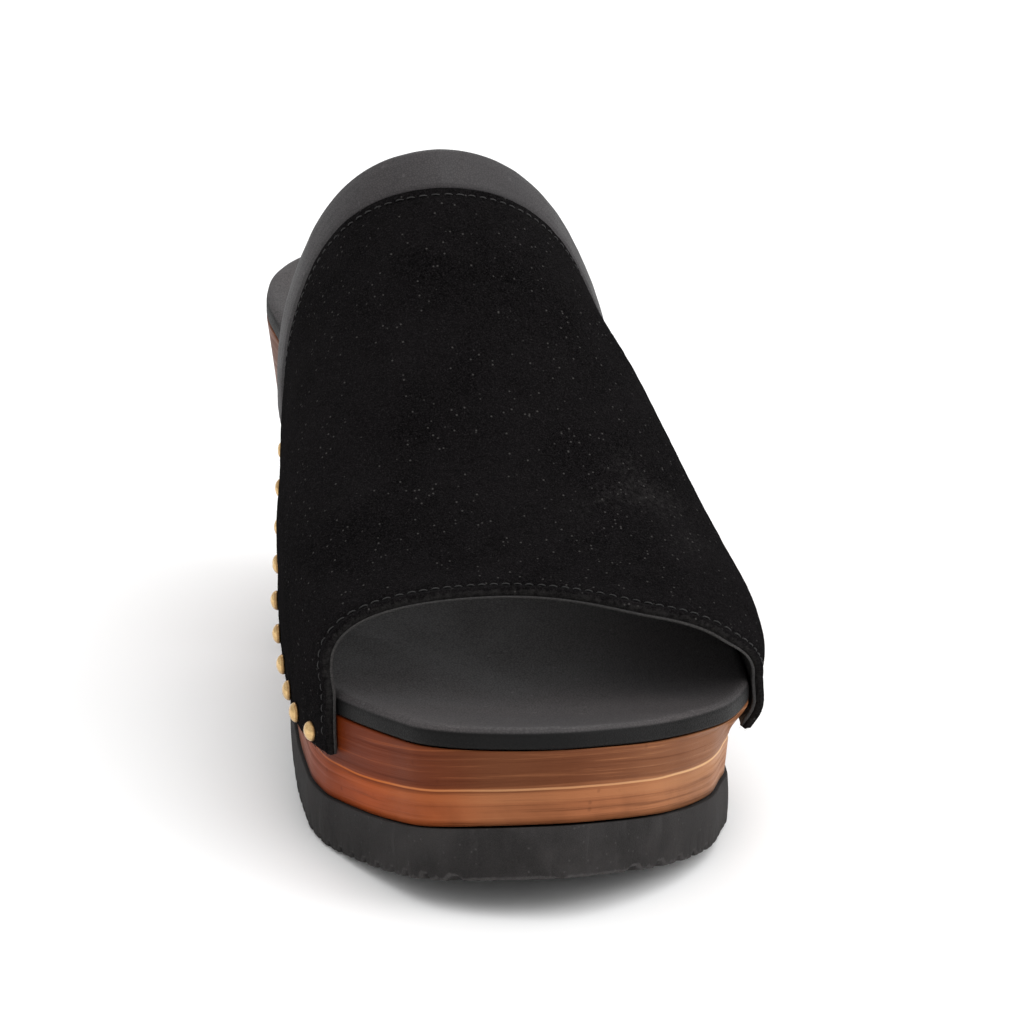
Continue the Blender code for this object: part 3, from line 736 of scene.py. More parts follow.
@made_once
def suede_finish(nodes, shader, shared, colour, speck_and_sheen):
    """Short brushed nap: near black and cloudy, with pale flecks, paler on its rubbed cut edges, and with a
    painted sheen on its lit outer side.
    """
    nap = place_effect(
        nodes, shared["streaks"], direction=(0.62, 0.0, 0.0), stretch=(3600.0, 2300.0, 3600.0),
        waver=1.2, detail=3.0,
    )
    tufts = place_effect(
        nodes, shared["streaks"], direction=(0.62, 0.0, 0.35), stretch=(1250.0, 820.0, 1250.0),
        waver=2.2, detail=5.0,
    )
    touched = place_effect(nodes, shared["handling"], patch_size=0.024, edge_wear=0.7, contrast=0.3)
    lint = place_effect(nodes, shared["specks"], spacing=0.0009, share=0.10)
    deep = shaded(colour, 0.10)
    lit = shaded(colour, 5.0)
    base = nodes.mix(nodes.span(tufts["Value"], 0.40, 0.58), deep, colour)
    base = nodes.mix(nodes.span(nap["Value"], 0.50, 0.64, 0.0, 0.70), base, lit)
    base = nodes.mix(nodes.times(touched["Patches"], 0.22), base, lit)
    base = nodes.mix(nodes.times(lint["Mask"], 0.6), base, speck_and_sheen)
    # Pale where the wear values mark it: rubbed cut edges, and the painted sheen on the outer side.
    base = nodes.mix(nodes.times(touched["Rubbed_and_painted_light"], 0.30), base, speck_and_sheen)
    height = nodes.plus(nodes.times(tufts["Value"], 0.6), nodes.times(nap["Value"], 0.4))
    set_shader(
        nodes, shader, base_color=base, roughness=nodes.span(nap["Fine"], 0.3, 0.7, 0.86, 1.0),
        specular_ior_level=0.0, sheen_weight=0.012, sheen_roughness=0.5,
        normal=bump(nodes, height, 0.0006, 1.0),
    )


@made_once
def leather_finish(nodes, shader, shared, colour, pebble, relief, roughness, gloss, crease_light, patch):
    """Smooth dyed leather with a fine grain, paler and polished where it is rubbed, with a painted highlight
    and painted shade where the wear values ask for them.
    """
    skin = place_effect(nodes, shared["grain"], pebble_size=pebble, unevenness=0.8)
    touched = place_effect(nodes, shared["handling"], patch_size=patch, edge_wear=0.6, contrast=0.6)
    dust = place_effect(nodes, shared["specks"], spacing=0.0018, share=0.05)
    dark = shaded(colour, crease_light)
    warm = shaded(colour, (1.45, 1.38, 1.34))
    pale = shaded(colour, 3.0, 0.02)
    base = nodes.mix(nodes.times(touched["Patches"], 0.6), colour, warm)
    base = nodes.mix(nodes.times(skin["Crease"], 0.7), base, dark)
    base = nodes.mix(nodes.times(dust["Mask"], 0.25), base, pale)
    # Paler where rubbed: real wear, the painted highlight on the footbed rim's shoulder and the painted rim
    # light on the collar's topline.
    base = nodes.mix(nodes.times(touched["Rubbed_and_painted_light"], 0.45), base, pale)
    # Painted shade: near black laid on the footbed rim's side band, which faces down.
    painted_shade_colour = shaded(colour, 0.06)
    base = nodes.mix(touched["Painted_shade"], base, painted_shade_colour)
    rough = nodes.plus(roughness, nodes.times(skin["Crease"], 0.12))
    rough = nodes.plus(rough, nodes.times(touched["Patches"], 0.10))
    rough = nodes.minus(rough, nodes.times(touched["Rubbed_and_painted_light"], 0.12), clamp=True)
    set_shader(
        nodes, shader, base_color=base, roughness=rough, specular_ior_level=gloss, coat_roughness=0.42,
        coat_weight=nodes.span(touched["Patches"], 0.0, 1.0, 0.04, 0.01),
        normal=bump(nodes, skin["Height"], relief, 0.8),
    )


@made_once
def wood_finish(nodes, shader, shared, upper, lower, line):
    """Stained wood in two layers, with grain along them and a pale glued line between them.

    The forepart has painted light that makes it paler towards the outer side, and it is redder towards the
    inner one, where painted shade darkens its end.
    """
    place = nodes.here()
    along = nodes.add("SeparateXYZ", {0: place})
    height = nodes.mesh_value("above_joint")
    forward = nodes.span(along.outputs["Y"], *GRAIN_FOLLOWS)
    middle = WOOD_BOTTOM + JOINT_SHARE * FOREPART_THICKNESS
    rise = nodes.minus(nodes.plus(height, middle), along.outputs["Z"])
    follow = nodes.add("CombineXYZ", {"Z": nodes.times(rise, forward)}).outputs[0]
    grain = place_effect(
        nodes, shared["streaks"], shift=follow, direction=(0.012, 0.0, 0.02), stretch=(20.0, 12.0, 950.0),
        waver=0.4, detail=6.0,
    )
    veins = place_effect(
        nodes, shared["streaks"], shift=follow, direction=(-0.01, 0.0, 0.03), stretch=(50.0, 34.0, 2400.0),
        waver=0.3, detail=4.0,
    )
    touched = place_effect(nodes, shared["handling"], patch_size=0.022, edge_wear=0.5, contrast=0.7)
    flecks = place_effect(nodes, shared["specks"], spacing=0.0021, share=0.08)
    sway = nodes.times(nodes.minus(nodes.noise(place, 26.0, 2.0), 0.5), 0.0022)
    level = nodes.plus(height, sway)
    above = nodes.span(level, -0.0012, 0.0012)
    below = nodes.times(nodes.minus(1.0, above), forward)
    base = nodes.mix(below, upper, lower)
    shade = shaded(upper, (0.55, 0.45, 0.40))
    honey = shaded(lower, (1.25, 1.40, 1.45))
    base = nodes.mix(nodes.span(grain["Value"], 0.50, 0.72, 0.0, 0.70), base, shade)
    base = nodes.mix(nodes.span(grain["Value"], 0.46, 0.28, 0.0, 0.50), base, honey)
    base = nodes.mix(nodes.span(veins["Value"], 0.56, 0.72, 0.0, 0.40), base, shade)
    base = nodes.mix(nodes.times(touched["Patches"], 0.35), base, shade)
    offset = nodes.math("ABSOLUTE", level)
    joint = nodes.times(nodes.span(offset, 0.00010, 0.00034, 1.0, 0.0), forward)
    off_band = nodes.math("ABSOLUTE", nodes.plus(level, 0.0016))
    band = nodes.times(nodes.span(off_band, 0.0004, 0.0016, 1.0, 0.0), forward)
    base = nodes.mix(nodes.times(band, 0.45), base, honey)
    base = nodes.mix(nodes.times(joint, 0.60), base, line)
    base = nodes.mix(nodes.times(flecks["Mask"], 0.30), base, shade)
    base = nodes.mix(nodes.times(touched["Rubbed_and_painted_light"], 0.5), base, honey)
    drift = nodes.plus(along.outputs["X"], nodes.times(nodes.noise(place, 40.0, 2.0), 0.012))
    front = nodes.span(along.outputs["Y"], -0.10, -0.15)
    painted_light = nodes.times(nodes.span(drift, 0.008, 0.050), front)
    stained = nodes.times(nodes.span(drift, -0.004, -0.032), front)
    # Painted light: the forepart is made paler towards its outer side, the more so in the upper layer, where
    # more light falls.
    base = nodes.mix(painted_light, base, (1.15, 1.40, 1.50, 1.0), "MULTIPLY")
    base = nodes.mix(nodes.times(painted_light, above), base, (1.60, 1.70, 1.75, 1.0), "MULTIPLY")
    base = nodes.mix(stained, base, (1.20, 0.60, 0.17, 1.0), "MULTIPLY")
    # Painted shade: the forepart's inner end is darkened, where it turns away from the light.
    corner = nodes.times(nodes.span(drift, -0.024, -0.040), front)
    base = nodes.mix(corner, base, (0.50, 0.42, 0.40, 1.0), "MULTIPLY")
    relief = nodes.plus(nodes.times(grain["Value"], -0.6), nodes.times(veins["Value"], -0.6))
    relief = nodes.minus(relief, nodes.times(joint, 0.4))
    rough = nodes.span(grain["Value"], 0.3, 0.75, 0.42, 0.60)
    set_shader(
        nodes, shader, base_color=base, roughness=rough, specular_ior_level=0.09,
        normal=bump(nodes, relief, 0.00016, 0.8),
    )


@made_once
def rubber_finish(nodes, shader, shared, colour):
    """Matt crumb rubber with fine pits, dusty and scuffed at its lower edge."""
    crumb = place_effect(nodes, shared["grain"], pebble_size=0.00045, unevenness=1.0)
    touched = place_effect(nodes, shared["handling"], patch_size=0.012, edge_wear=0.8, contrast=0.7)
    grit = place_effect(nodes, shared["specks"], spacing=0.0010, share=0.12)
    drag = place_effect(
        nodes, shared["streaks"], direction=(0.0, 0.0, 0.0), stretch=(300.0, 300.0, 60.0),
        waver=0.4, detail=4.0,
    )
    pale = shaded(colour, 2.6, 0.015)
    dark = shaded(colour, 0.5)
    base = nodes.mix(nodes.times(crumb["Crease"], 0.6), colour, dark)
    base = nodes.mix(nodes.times(touched["Patches"], 0.35), base, pale)
    base = nodes.mix(nodes.span(drag["Value"], 0.55, 0.78, 0.0, 0.30), base, pale)
    base = nodes.mix(nodes.times(grit["Mask"], 0.45), base, pale)
    base = nodes.mix(nodes.times(touched["Rubbed_and_painted_light"], 0.8), base, pale)
    set_shader(
        nodes, shader, base_color=base, roughness=nodes.span(touched["Patches"], 0.0, 1.0, 0.72, 0.92),
        specular_ior_level=0.12, normal=bump(nodes, crumb["Height"], 0.00016, 0.7),
    )


@made_once
def brass_finish(nodes, shader, shared, colour):
    """Pale brass, bright on the crown and dull in its hollows."""
    place = nodes.here()
    touched = place_effect(nodes, shared["handling"], patch_size=0.0012, edge_wear=0.6, contrast=0.5)
    dents = nodes.noise(place, 700.0, 3.0, 0.55)
    scratch = place_effect(
        nodes, shared["streaks"], direction=(0.3, 0.7, 0.2), stretch=(9000.0, 700.0, 9000.0),
        waver=0.1, detail=2.0,
    )
    tarnish = shaded(colour, (0.30, 0.20, 0.14))
    base = nodes.mix(nodes.times(touched["Patches"], 0.35), colour, tarnish)
    base = nodes.mix(touched["Rubbed_and_painted_light"], base, tarnish)
    rough = nodes.plus(nodes.span(dents, 0.3, 0.7, 0.16, 0.32), nodes.times(touched["Rubbed_and_painted_light"], 0.3))
    height = nodes.plus(dents, nodes.times(scratch["Value"], 0.15))
    set_shader(
        nodes, shader, base_color=base, metallic=1.0, roughness=rough,
        normal=bump(nodes, height, 0.00007, 0.8),
    )


@made_once
def thread_finish(nodes, shader, shared, colour):
    """Waxed twisted thread."""
    twist = place_effect(
        nodes, shared["streaks"], direction=(0.5, 0.8, 0.3), stretch=(9000.0, 2600.0, 9000.0),
        waver=0.1, detail=2.0,
    )
    touched = place_effect(nodes, shared["handling"], patch_size=0.004, edge_wear=0.0, contrast=0.5)
    pale = shaded(colour, 2.2)
    dark = shaded(colour, 0.5)
    base = nodes.mix(nodes.span(twist["Value"], 0.38, 0.62), dark, colour)
    base = nodes.mix(nodes.times(touched["Patches"], 0.6), base, pale)
    set_shader(
        nodes, shader, base_color=base, roughness=nodes.span(twist["Fine"], 0.3, 0.7, 0.5, 0.7),
        specular_ior_level=0.35, normal=bump(nodes, twist["Value"], 0.0001, 0.8),
    )


# The values that a user would change

def colour_value(name, description, default):
    return bpy.props.FloatVectorProperty(
        name=name, description=description, default=default, size=4, min=0.0, max=1.0, subtype="COLOR"
    )


def length_value(name, description, default):
    return bpy.props.FloatProperty(
        name=name, description=description, default=default, min=0.0, subtype="DISTANCE", unit="LENGTH"
    )


def number_value(name, description, default):
    return bpy.props.FloatProperty(name=name, description=description, default=default, min=0.0)


def count_value(name, description, default):
    return bpy.props.IntProperty(name=name, description=description, default=default, min=0)


def power_value(name, description, default):
    return bpy.props.FloatProperty(name=name, description=description, default=default, unit="POWER")


def angle_value(name, description, default):
    return bpy.props.FloatProperty(
        name=name, description=description, default=math.radians(default), subtype="ANGLE", unit="ROTATION"
    )


class MuleSole(bpy.types.PropertyGroup):
    upper_layer: colour_value(
        "Upper layer", "Colour of the wood above the glued line", (0.132, 0.042, 0.016, 1.0)
    )
    lower_layer: colour_value(
        "Lower layer", "Colour of the wood below the glued line", (0.300, 0.105, 0.042, 1.0)
    )
    glue_line: colour_value("Glued line", "Colour of the line between the layers", (0.600, 0.300, 0.140, 1.0))
    edge_radius: length_value("Edge radius", "How much the wood's edges are rounded", 0.0009)
    rubber: colour_value("Rubber", "Colour of the treads", (0.0235, 0.0215, 0.0212, 1.0))
    tread_cut: length_value("Fine cut", "Depth of the fine cut down the middle of each rib", 0.0005)


class MuleFootbed(bpy.types.PropertyGroup):
    leather: colour_value("Leather", "Colour of the footbed", (0.053, 0.0490, 0.0500, 1.0))
    rim_radius: length_value("Rim radius", "Roundness of the rolled rim", 0.0021)
    softness: length_value("Softness", "Height of the gentle dents in the padding", 0.00022)


class MuleUpper(bpy.types.PropertyGroup):
    suede: colour_value("Suede", "Colour of the nap", (0.0038, 0.0034, 0.0036, 1.0))
    fleck_and_sheen: colour_value("Fleck", "Colour of the pale flecks and rubbed edges", (0.085, 0.081, 0.078, 1.0))
    collar: colour_value("Collar", "Colour of the smooth leather band", (0.036, 0.0330, 0.0345, 1.0))
    lining: colour_value("Lining", "Colour of the leather inside", (0.030, 0.0285, 0.028, 1.0))
    suede_share: number_value("Suede share", "Share of the wall's thickness that is suede", 0.64)
    folds: length_value("Folds", "Height of the soft folds in the suede", 0.00030)
    raw_edge: length_value("Raw edge", "Roundness of the cut edges", 0.0006)
    fibre_length: length_value("Fibre length", "Longest loose fibre on a cut edge", 0.0011)
    fibre_count: count_value("Fibres", "How many loose fibres stand on the cut edges", 5200)
    nap_count: count_value("Nap fibres", "How many longer fibres stand out of the nap", 11000)


class MuleStitches(bpy.types.PropertyGroup):
    thread: colour_value("Thread", "Colour of the thread", (0.0130, 0.0124, 0.0124, 1.0))
    thickness: length_value("Thickness", "Thickness of the thread", 0.00032)
    length: length_value("Stitch", "Length of one stitch", 0.0017)
    space: length_value("Space", "Space between two stitches", 0.0007)
    from_opening: length_value("From the opening", "Distance of the row from the toe opening's edge", 0.0026)
    from_collar: length_value("From the collar", "Distance of the row from the collar's seam", 0.0022)
    sunk: length_value("Sunk", "How far the thread pulls the suede in", 0.00032)


class MuleNails(bpy.types.PropertyGroup):
    brass: colour_value("Brass", "Colour of the nail heads", (0.72, 0.50, 0.24, 1.0))
    unevenness: length_value("Unevenness", "How far the heads' crowns differ", 0.00006)


class MuleStage(bpy.types.PropertyGroup):
    floor: colour_value("Floor", "Colour of the floor", (0.97, 0.97, 0.97, 1.0))
    key: power_value("Key", "Power of the main soft light", 17.0)
    fill: power_value("Fill", "Power of each of the two other lights", 6.0)
    air: number_value("Air", "Brightness of the light from all round", 0.80)
    lens: bpy.props.FloatProperty(
        name="Lens", description="Focal length", default=218.0, subtype="DISTANCE_CAMERA"
    )
    roll: angle_value("Roll", "How far the camera is tipped sideways", 0.14)


class DressedPiece(bpy.types.Operator):
    """Shared manners of the operators here."""

    bl_options = {"REGISTER", "UNDO"}


# Sole

def heel_to_toe(count):
    """Length shares that crowd at the round ends and down the heel's breast."""
    shares = close_at_ends(count)
    down = BREAST_FOOT + (BREAST_TOP - BREAST_FOOT) * (1 - np.cos(quarter_turn(26)))
    clear = 0.2 / count
    kept = shares[(shares < down[0] - clear) | (shares > down[-1] + clear)]
    return np.sort(np.concatenate([kept, down, [BREAST_FOOT - 0.0006, BREAST_FOOT - 0.0025]]))


def wood_profile(along, side, radius):
    """The wood's side from its top edge to its underside, both edges rounded: points and wear."""
    tip = (along <= 0.0) | (along >= 1.0)
    top = wood_top(along, np.where(tip, OUTER, side))
    bottom = under_level(along)
    top_radius = TOP_EDGE_SHARE * radius
    joint_level = bottom + JOINT_SHARE * (top - bottom)
    arc = quarter_turn(5)
    rows, wear = [], []
    for a in arc:
        level = top - top_radius * (1 - math.cos(a))
        rows.append(side_point(along, side, level, -top_radius * (1 - math.sin(a))))
        wear.append(0.3)
    start, end = top - top_radius, bottom + radius
    for share in np.linspace(0.0, 1.0, 21)[1:-1]:
        level = start + (end - start) * share
        near_line = bell(level - joint_level, JOINT_LINE_HALF_HEIGHT)
        near_line = near_line * eased(along, JOINT_BEGINS, JOINT_FULL)
        rows.append(side_point(along, side, level, -JOINT_LINE_DEPTH * near_line))
        wear.append(0.0)
    for a in arc[::-1]:
        inset = radius * (1 - math.sin(a))
        rows.append(side_point(along, side, bottom + inset, -inset))
        wear.append(0.9 if 0.2 < a < 1.4 else 0.45)
    return np.stack(rows, 1), np.array(wear)


def above_joint(points):
    """How far each point of the wood is above the joint between its layers."""
    along = along_at(points[:, :, 1])
    low, high = arch_level(along), top_level(along)
    return (points[:, :, 2] - low - JOINT_SHARE * (high - low)).ravel()


class CarveWoodenSole(DressedPiece):
    """Carves the platform, arch and heel block with rounded edges"""

    bl_idname = "mule.carve_wooden_sole"
    bl_label = "Wooden sole"

    def execute(self, context):
        values = context.scene.mule_sole
        radius = values.edge_radius
        along = heel_to_toe(230)
        inner, wear_inner = wood_profile(along, INNER, radius)
        outer, wear_outer = wood_profile(along, OUTER, radius)
        across = np.linspace(-1.0, 1.0, 27)
        top = between(inner[:, 0], outer[:, 0], len(across))
        top[:, :, 2] = wood_top(along_at(top[:, :, 1]), across[None, :])
        bottom = between(outer[:, -1], inner[:, -1], len(across))
        bottom[:, :, 2] = under_level(along)[:, None]
        colours = tuple(values.upper_layer), tuple(values.lower_layer), tuple(values.glue_line)
        rings = np.concatenate([top, outer[:, 1:-1], bottom, inner[:, -2:0:-1]], 1)
        wear = np.concatenate(
            [np.zeros(len(across)), wear_outer[1:-1], np.full(len(across), 0.1), wear_inner[-2:0:-1]]
        )
        size = rings.shape[1]
        mesh_piece(
            "carved_wood", rings.reshape(-1, 3), ring_faces(len(along), size), ["wooden_sole"],
            wear=np.tile(wear, len(along)), height=above_joint(rings),
            materials=[wood_finish("stained_wood", *colours)],
        )
        return {"FINISHED"}


def rubber_sides(level_of, proud):
    """The rubber's outline: for each side a curve from y to x, following the wood's lower edge."""
    shares = close_at_ends(1201)
    found = {}
    for side in (INNER, OUTER):
        points = side_point(shares, side, level_of(shares), proud)
        order = np.argsort(points[:, 1])
        found[side] = points[order, 1], points[order, 0]
    return found


def rib_depth(y):
    """0 on a rib's land, 1 in the groove between two ribs."""
    off = np.abs(y / RIB_PITCH - np.round(y / RIB_PITCH))
    return eased(off, RIB_LAND_SHARE / 2, RIB_LAND_SHARE / 2 + RIB_FLANK_SHARE)


def fine_cut(y):
    """1 in the fine cut down the middle of a rib's land."""
    off = np.abs(y / RIB_PITCH - np.round(y / RIB_PITCH))
    return 1 - eased(off, 0.03, 0.085)


def rubber_tread(name, node, ys, outline, upper, lower, finish, cut):
    """A rubber piece across the sole, ribbed underneath, with softened edges."""
    x_inner = np.interp(ys, *outline[INNER])
    x_outer = np.interp(ys, *outline[OUTER])
    along = along_at(ys)
    width = x_outer - x_inner
    ends = eased(ys - ys.min(), 0.0008, TIP_RIBS_FADE) * eased(ys.max() - ys, 0.0008, END_RIBS_FADE)
    bottom = lower(along) + (RIB_DEPTH * rib_depth(ys) + cut * fine_cut(ys)) * ends
    top = upper(along)
    soft = np.minimum(TREAD_EDGE, width / 4)
    lip = np.minimum(TREAD_LIP, width / 5)
    arc = quarter_turn(5)

    def side_rows(x, sign):
        rows = [(x - sign * lip * (1 - math.sin(a)), top - lip * (1 - math.cos(a))) for a in arc]
        for share in np.linspace(0.0, 1.0, 10)[1:-1]:
            level = (top - lip) + (bottom + soft - top + lip) * share
            belly = TREAD_BELLY * math.sin(math.pi * share) * np.minimum(1.0, width / 0.01)
            rows.append((x + sign * belly, level))
        rows += [(x - sign * soft * (1 - math.cos(a)), bottom + soft * (1 - math.sin(a))) for a in arc]
        return rows

    outer_rows, inner_rows = side_rows(x_outer, 1), side_rows(x_inner, -1)
    share = np.linspace(0.0, 1.0, 15)[1:-1]
    top_rows = [(inner_rows[0][0] + (outer_rows[0][0] - inner_rows[0][0]) * s, top) for s in share]
    low_rows = [(outer_rows[-1][0] + (inner_rows[-1][0] - outer_rows[-1][0]) * s, bottom) for s in share]
    ring = top_rows + outer_rows + low_rows + inner_rows[::-1]
    side_wear = [0.3] * 5 + [0.0] * 8 + [0.35, 0.75, 0.9, 0.9, 0.7]
    wear = [0.0] * len(top_rows) + side_wear + [0.35] * len(low_rows) + side_wear[::-1]
    rings = np.stack([np.stack([x, ys, np.broadcast_to(z, ys.shape)], -1) for x, z in ring], 1)
    return mesh_piece(
        name, rings.reshape(-1, 3), ring_faces(len(ys), len(ring)), [node],
        wear=np.tile(wear, len(ys)), materials=[finish],
    )


class CastTreads(DressedPiece):
    """Casts the forepart tread and the heel's top piece in ribbed rubber"""

    bl_idname = "mule.cast_treads"
    bl_label = "Rubber treads"

    def execute(self, context):
        values = context.scene.mule_sole
        finish = rubber_finish("rubber", tuple(values.rubber))
        near = 0.008 * np.linspace(0.0, 1.0, 46) ** 2
        spacing = RIB_PITCH / 18

        fore = rubber_sides(arch_level, RUBBER_LIP)
        toe = min(fore[INNER][0].min(), fore[OUTER][0].min())
        back = y_at(OUTSOLE_START_SHARE)
        body = np.arange(toe + near[-1] + spacing, back, spacing)
        ys = np.concatenate([toe + near, body, [back]])

        def fore_lower(along):
            full = eased(along, OUTSOLE_START_SHARE, OUTSOLE_FULL_SHARE)
            thick = OUTSOLE_BACK_THICKNESS + (OUTSOLE_THICKNESS - OUTSOLE_BACK_THICKNESS) * full
            return arch_level(along) - GAP - thick

        tread = rubber_tread(
            "forepart_tread", "outsole", ys, fore, lambda at: arch_level(at) - GAP, fore_lower,
            finish, values.tread_cut,
        )
        cap_end(tread, back)

        heel = rubber_sides(lambda at: np.full(np.shape(at), HEEL_BLOCK_BOTTOM), 0.0)
        heel_back = max(heel[INNER][0].max(), heel[OUTER][0].max())
        front = y_at(BREAST_FOOT)
        body = np.arange(front, heel_back - near[-1], spacing)
        ys = np.concatenate([body, (heel_back - near)[::-1]])
        piece = rubber_tread(
            "heel_top_piece", "heel_lift", ys, heel, lambda at: np.full(np.shape(at), HEEL_LIFT_THICKNESS),
            lambda at: np.zeros(np.shape(at)), finish, values.tread_cut,
        )
        cap_end(piece, front)
        return {"FINISHED"}


def cap_end(piece, y):
    """Closes the flat cut end of a rubber piece."""
    shell = bmesh.new()
    shell.from_mesh(piece.data)
    rim_edges = [e for e in shell.edges if e.is_boundary]
    bmesh.ops.holes_fill(shell, edges=rim_edges, sides=0)
    cut = [f for f in shell.faces if all(abs(v.co.y - y) < 1e-6 for v in f.verts)]
    for face in cut:
        face.smooth = False
    bmesh.ops.triangulate(shell, faces=cut)
    bmesh.ops.recalc_face_normals(shell, faces=shell.faces)
    shell.to_mesh(piece.data)
    shell.free()
    if not cut:
        raise RuntimeError(f"{piece.name} has no cut end to close")


# Footbed

class CoverFootbed(DressedPiece):
    """Wraps the padded insole in leather with a rolled rim"""

    bl_idname = "mule.cover_footbed"
    bl_label = "Footbed"

    def execute(self, context):
        values = context.scene.mule_footbed
        radius, thick = values.rim_radius, FOOTBED_THICKNESS
        along = heel_to_toe(300)
        tip = (along <= 0.0) | (along >= 1.0)
        edge = PAD_LOWER_EDGE
        profile = [(edge * (1 - math.sin(a)), edge * (1 - math.cos(a))) for a in quarter_turn(4)]
        profile += [(0.0, edge + (thick - radius - edge) * share) for share in (0.33, 0.66)]
        profile += [
            (radius * (1 - math.cos(a)), thick - radius * (1 - math.sin(a))) for a in quarter_turn(11)
        ]

        def row(side, inset, lift):
            base, out = rim(along, side)
            flat = base - out * inset
            level = wood_top(along_at(flat[:, 1]), np.where(tip, OUTER, side)) + GAP + lift
            return np.concatenate([flat, level[:, None]], 1)

        inner = np.stack([row(INNER, inset, lift) for inset, lift in profile], 1)
        outer = np.stack([row(OUTER, inset, lift) for inset, lift in profile], 1)
        across = np.linspace(-1.0, 1.0, 61)
        top = between(inner[:, -1], outer[:, -1], len(across))
        flat_across = np.where(tip[:, None], 1.0, across[None, :])
        top[:, :, 2] = wood_top(along_at(top[:, :, 1]), flat_across) + GAP + thick
        soft = values.softness * rumple(top, 0.021, 3) + 0.35 * values.softness * rumple(top, 0.008, 5)
        from_sides = eased(1 - np.abs(across), 0.0, 0.14)[None, :]
        from_ends = eased(np.minimum(along, 1 - along), 0.0, 0.02)[:, None]
        top[:, :, 2] += soft * (from_sides * from_ends)
        bottom = between(outer[:, 0], inner[:, 0], len(across))
        bottom[:, :, 2] = wood_top(along_at(bottom[:, :, 1]), flat_across[:, ::-1]) + GAP
        rings = np.concatenate([top, outer[:, -2:0:-1], bottom, inner[:, 1:-1]], 1)
        # Painted shade on the lower part of the rim's side band, which faces down, then a painted highlight
        # along the rim's rounded shoulder.
        side_wear = [-1.0] * 8 + [-0.6, -0.25, 0.25, 0.55, 0.6, 0.4, 0.2]
        wear = np.concatenate([np.zeros(len(across)), side_wear[::-1], np.zeros(len(across)), side_wear])
        size = rings.shape[1]
        finish = leather_finish(
            "footbed_leather", tuple(values.leather), 0.00062, 0.00006, 0.52, 0.14, 0.62, 0.034
        )
        pad = mesh_piece(
            "footbed_pad", rings.reshape(-1, 3), ring_faces(len(along), size), ["footbed"],
            wear=np.tile(wear, len(along)), materials=[finish],
        )
        return {"FINISHED"}


# Upper

def wall_layer(name, shares, girths, low, high, replaced, finish, lift=None, wear=None):
    """A curved layer of the upper between two distances from its inner face.

    shares holds the length share of each row at each girth. low and high are distances, one for
    each row and girth. lift moves the whole layer outward.
    """
    inside = upper_inside(shares, girths[None, :])
    out = upper_out(shares, girths[None, :])
    shift = 0.0 if lift is None else lift
    under = inside + out * (low + shift)[..., None]
    over = inside + out * (high + shift)[..., None]
    rows, columns = shares.shape
    points = np.concatenate([under.reshape(-1, 3), over.reshape(-1, 3)])
    below = ring_faces(rows, columns, closed=False)
    above = [tuple(v + rows * columns for v in reversed(face)) for face in below]
    rims = []
    total = rows * columns
    for row in range(rows - 1):
        for place in (0, columns - 1):
            a, b = row * columns + place, (row + 1) * columns + place
            rims.append((a, b, b + total, a + total))
    for row in (0, rows - 1):
        for place in range(columns - 1):
            a, b = row * columns + place, row * columns + place + 1
            rims.append((a, b, b + total, a + total))
    layer_wear = None if wear is None else np.concatenate([wear.ravel(), wear.ravel()])
    piece = mesh_piece(
        name, points, below + above + rims, replaced, wear=layer_wear, materials=[finish]
    )
    return piece, over, out


def surface_distances(points, axis):
    """Distance of every grid point from the grid's first row or column, along the surface."""
    run = np.linalg.norm(np.diff(points, axis=axis), axis=-1)
    first = np.zeros_like(np.take(run, [0], axis=axis))
    return np.concatenate([first, np.cumsum(run, axis=axis)], axis=axis)


def rounded(distance, radius, depth):
    """How far a cut edge falls away at this distance from it."""
    u = np.clip(distance / radius, 0.0, 1.0)
    return depth * (1 - np.sqrt(np.maximum(0.0, 1 - (1 - u) ** 2)))


def vamp_rows(rows, girths):
    """The length share of every row of the vamp at every girth, seam first."""
    back = seam_share(girths) + GAP / SOLE_LENGTH
    front = edge_share(TOE_OPENING, girths)
    share = close_at_ends(rows)[:, None]
    return back[None, :] + (front - back)[None, :] * share


def flap_corner_lift(from_front, from_flap, outer):
    """The outer flap's front corner curls a little away from the sole."""
    curl = (1 - eased(from_front, 0.0, CORNER_CURL_REACH)) * (1 - eased(from_flap, 0.0, CORNER_CURL_REACH))
    return CORNER_CURL * curl * outer


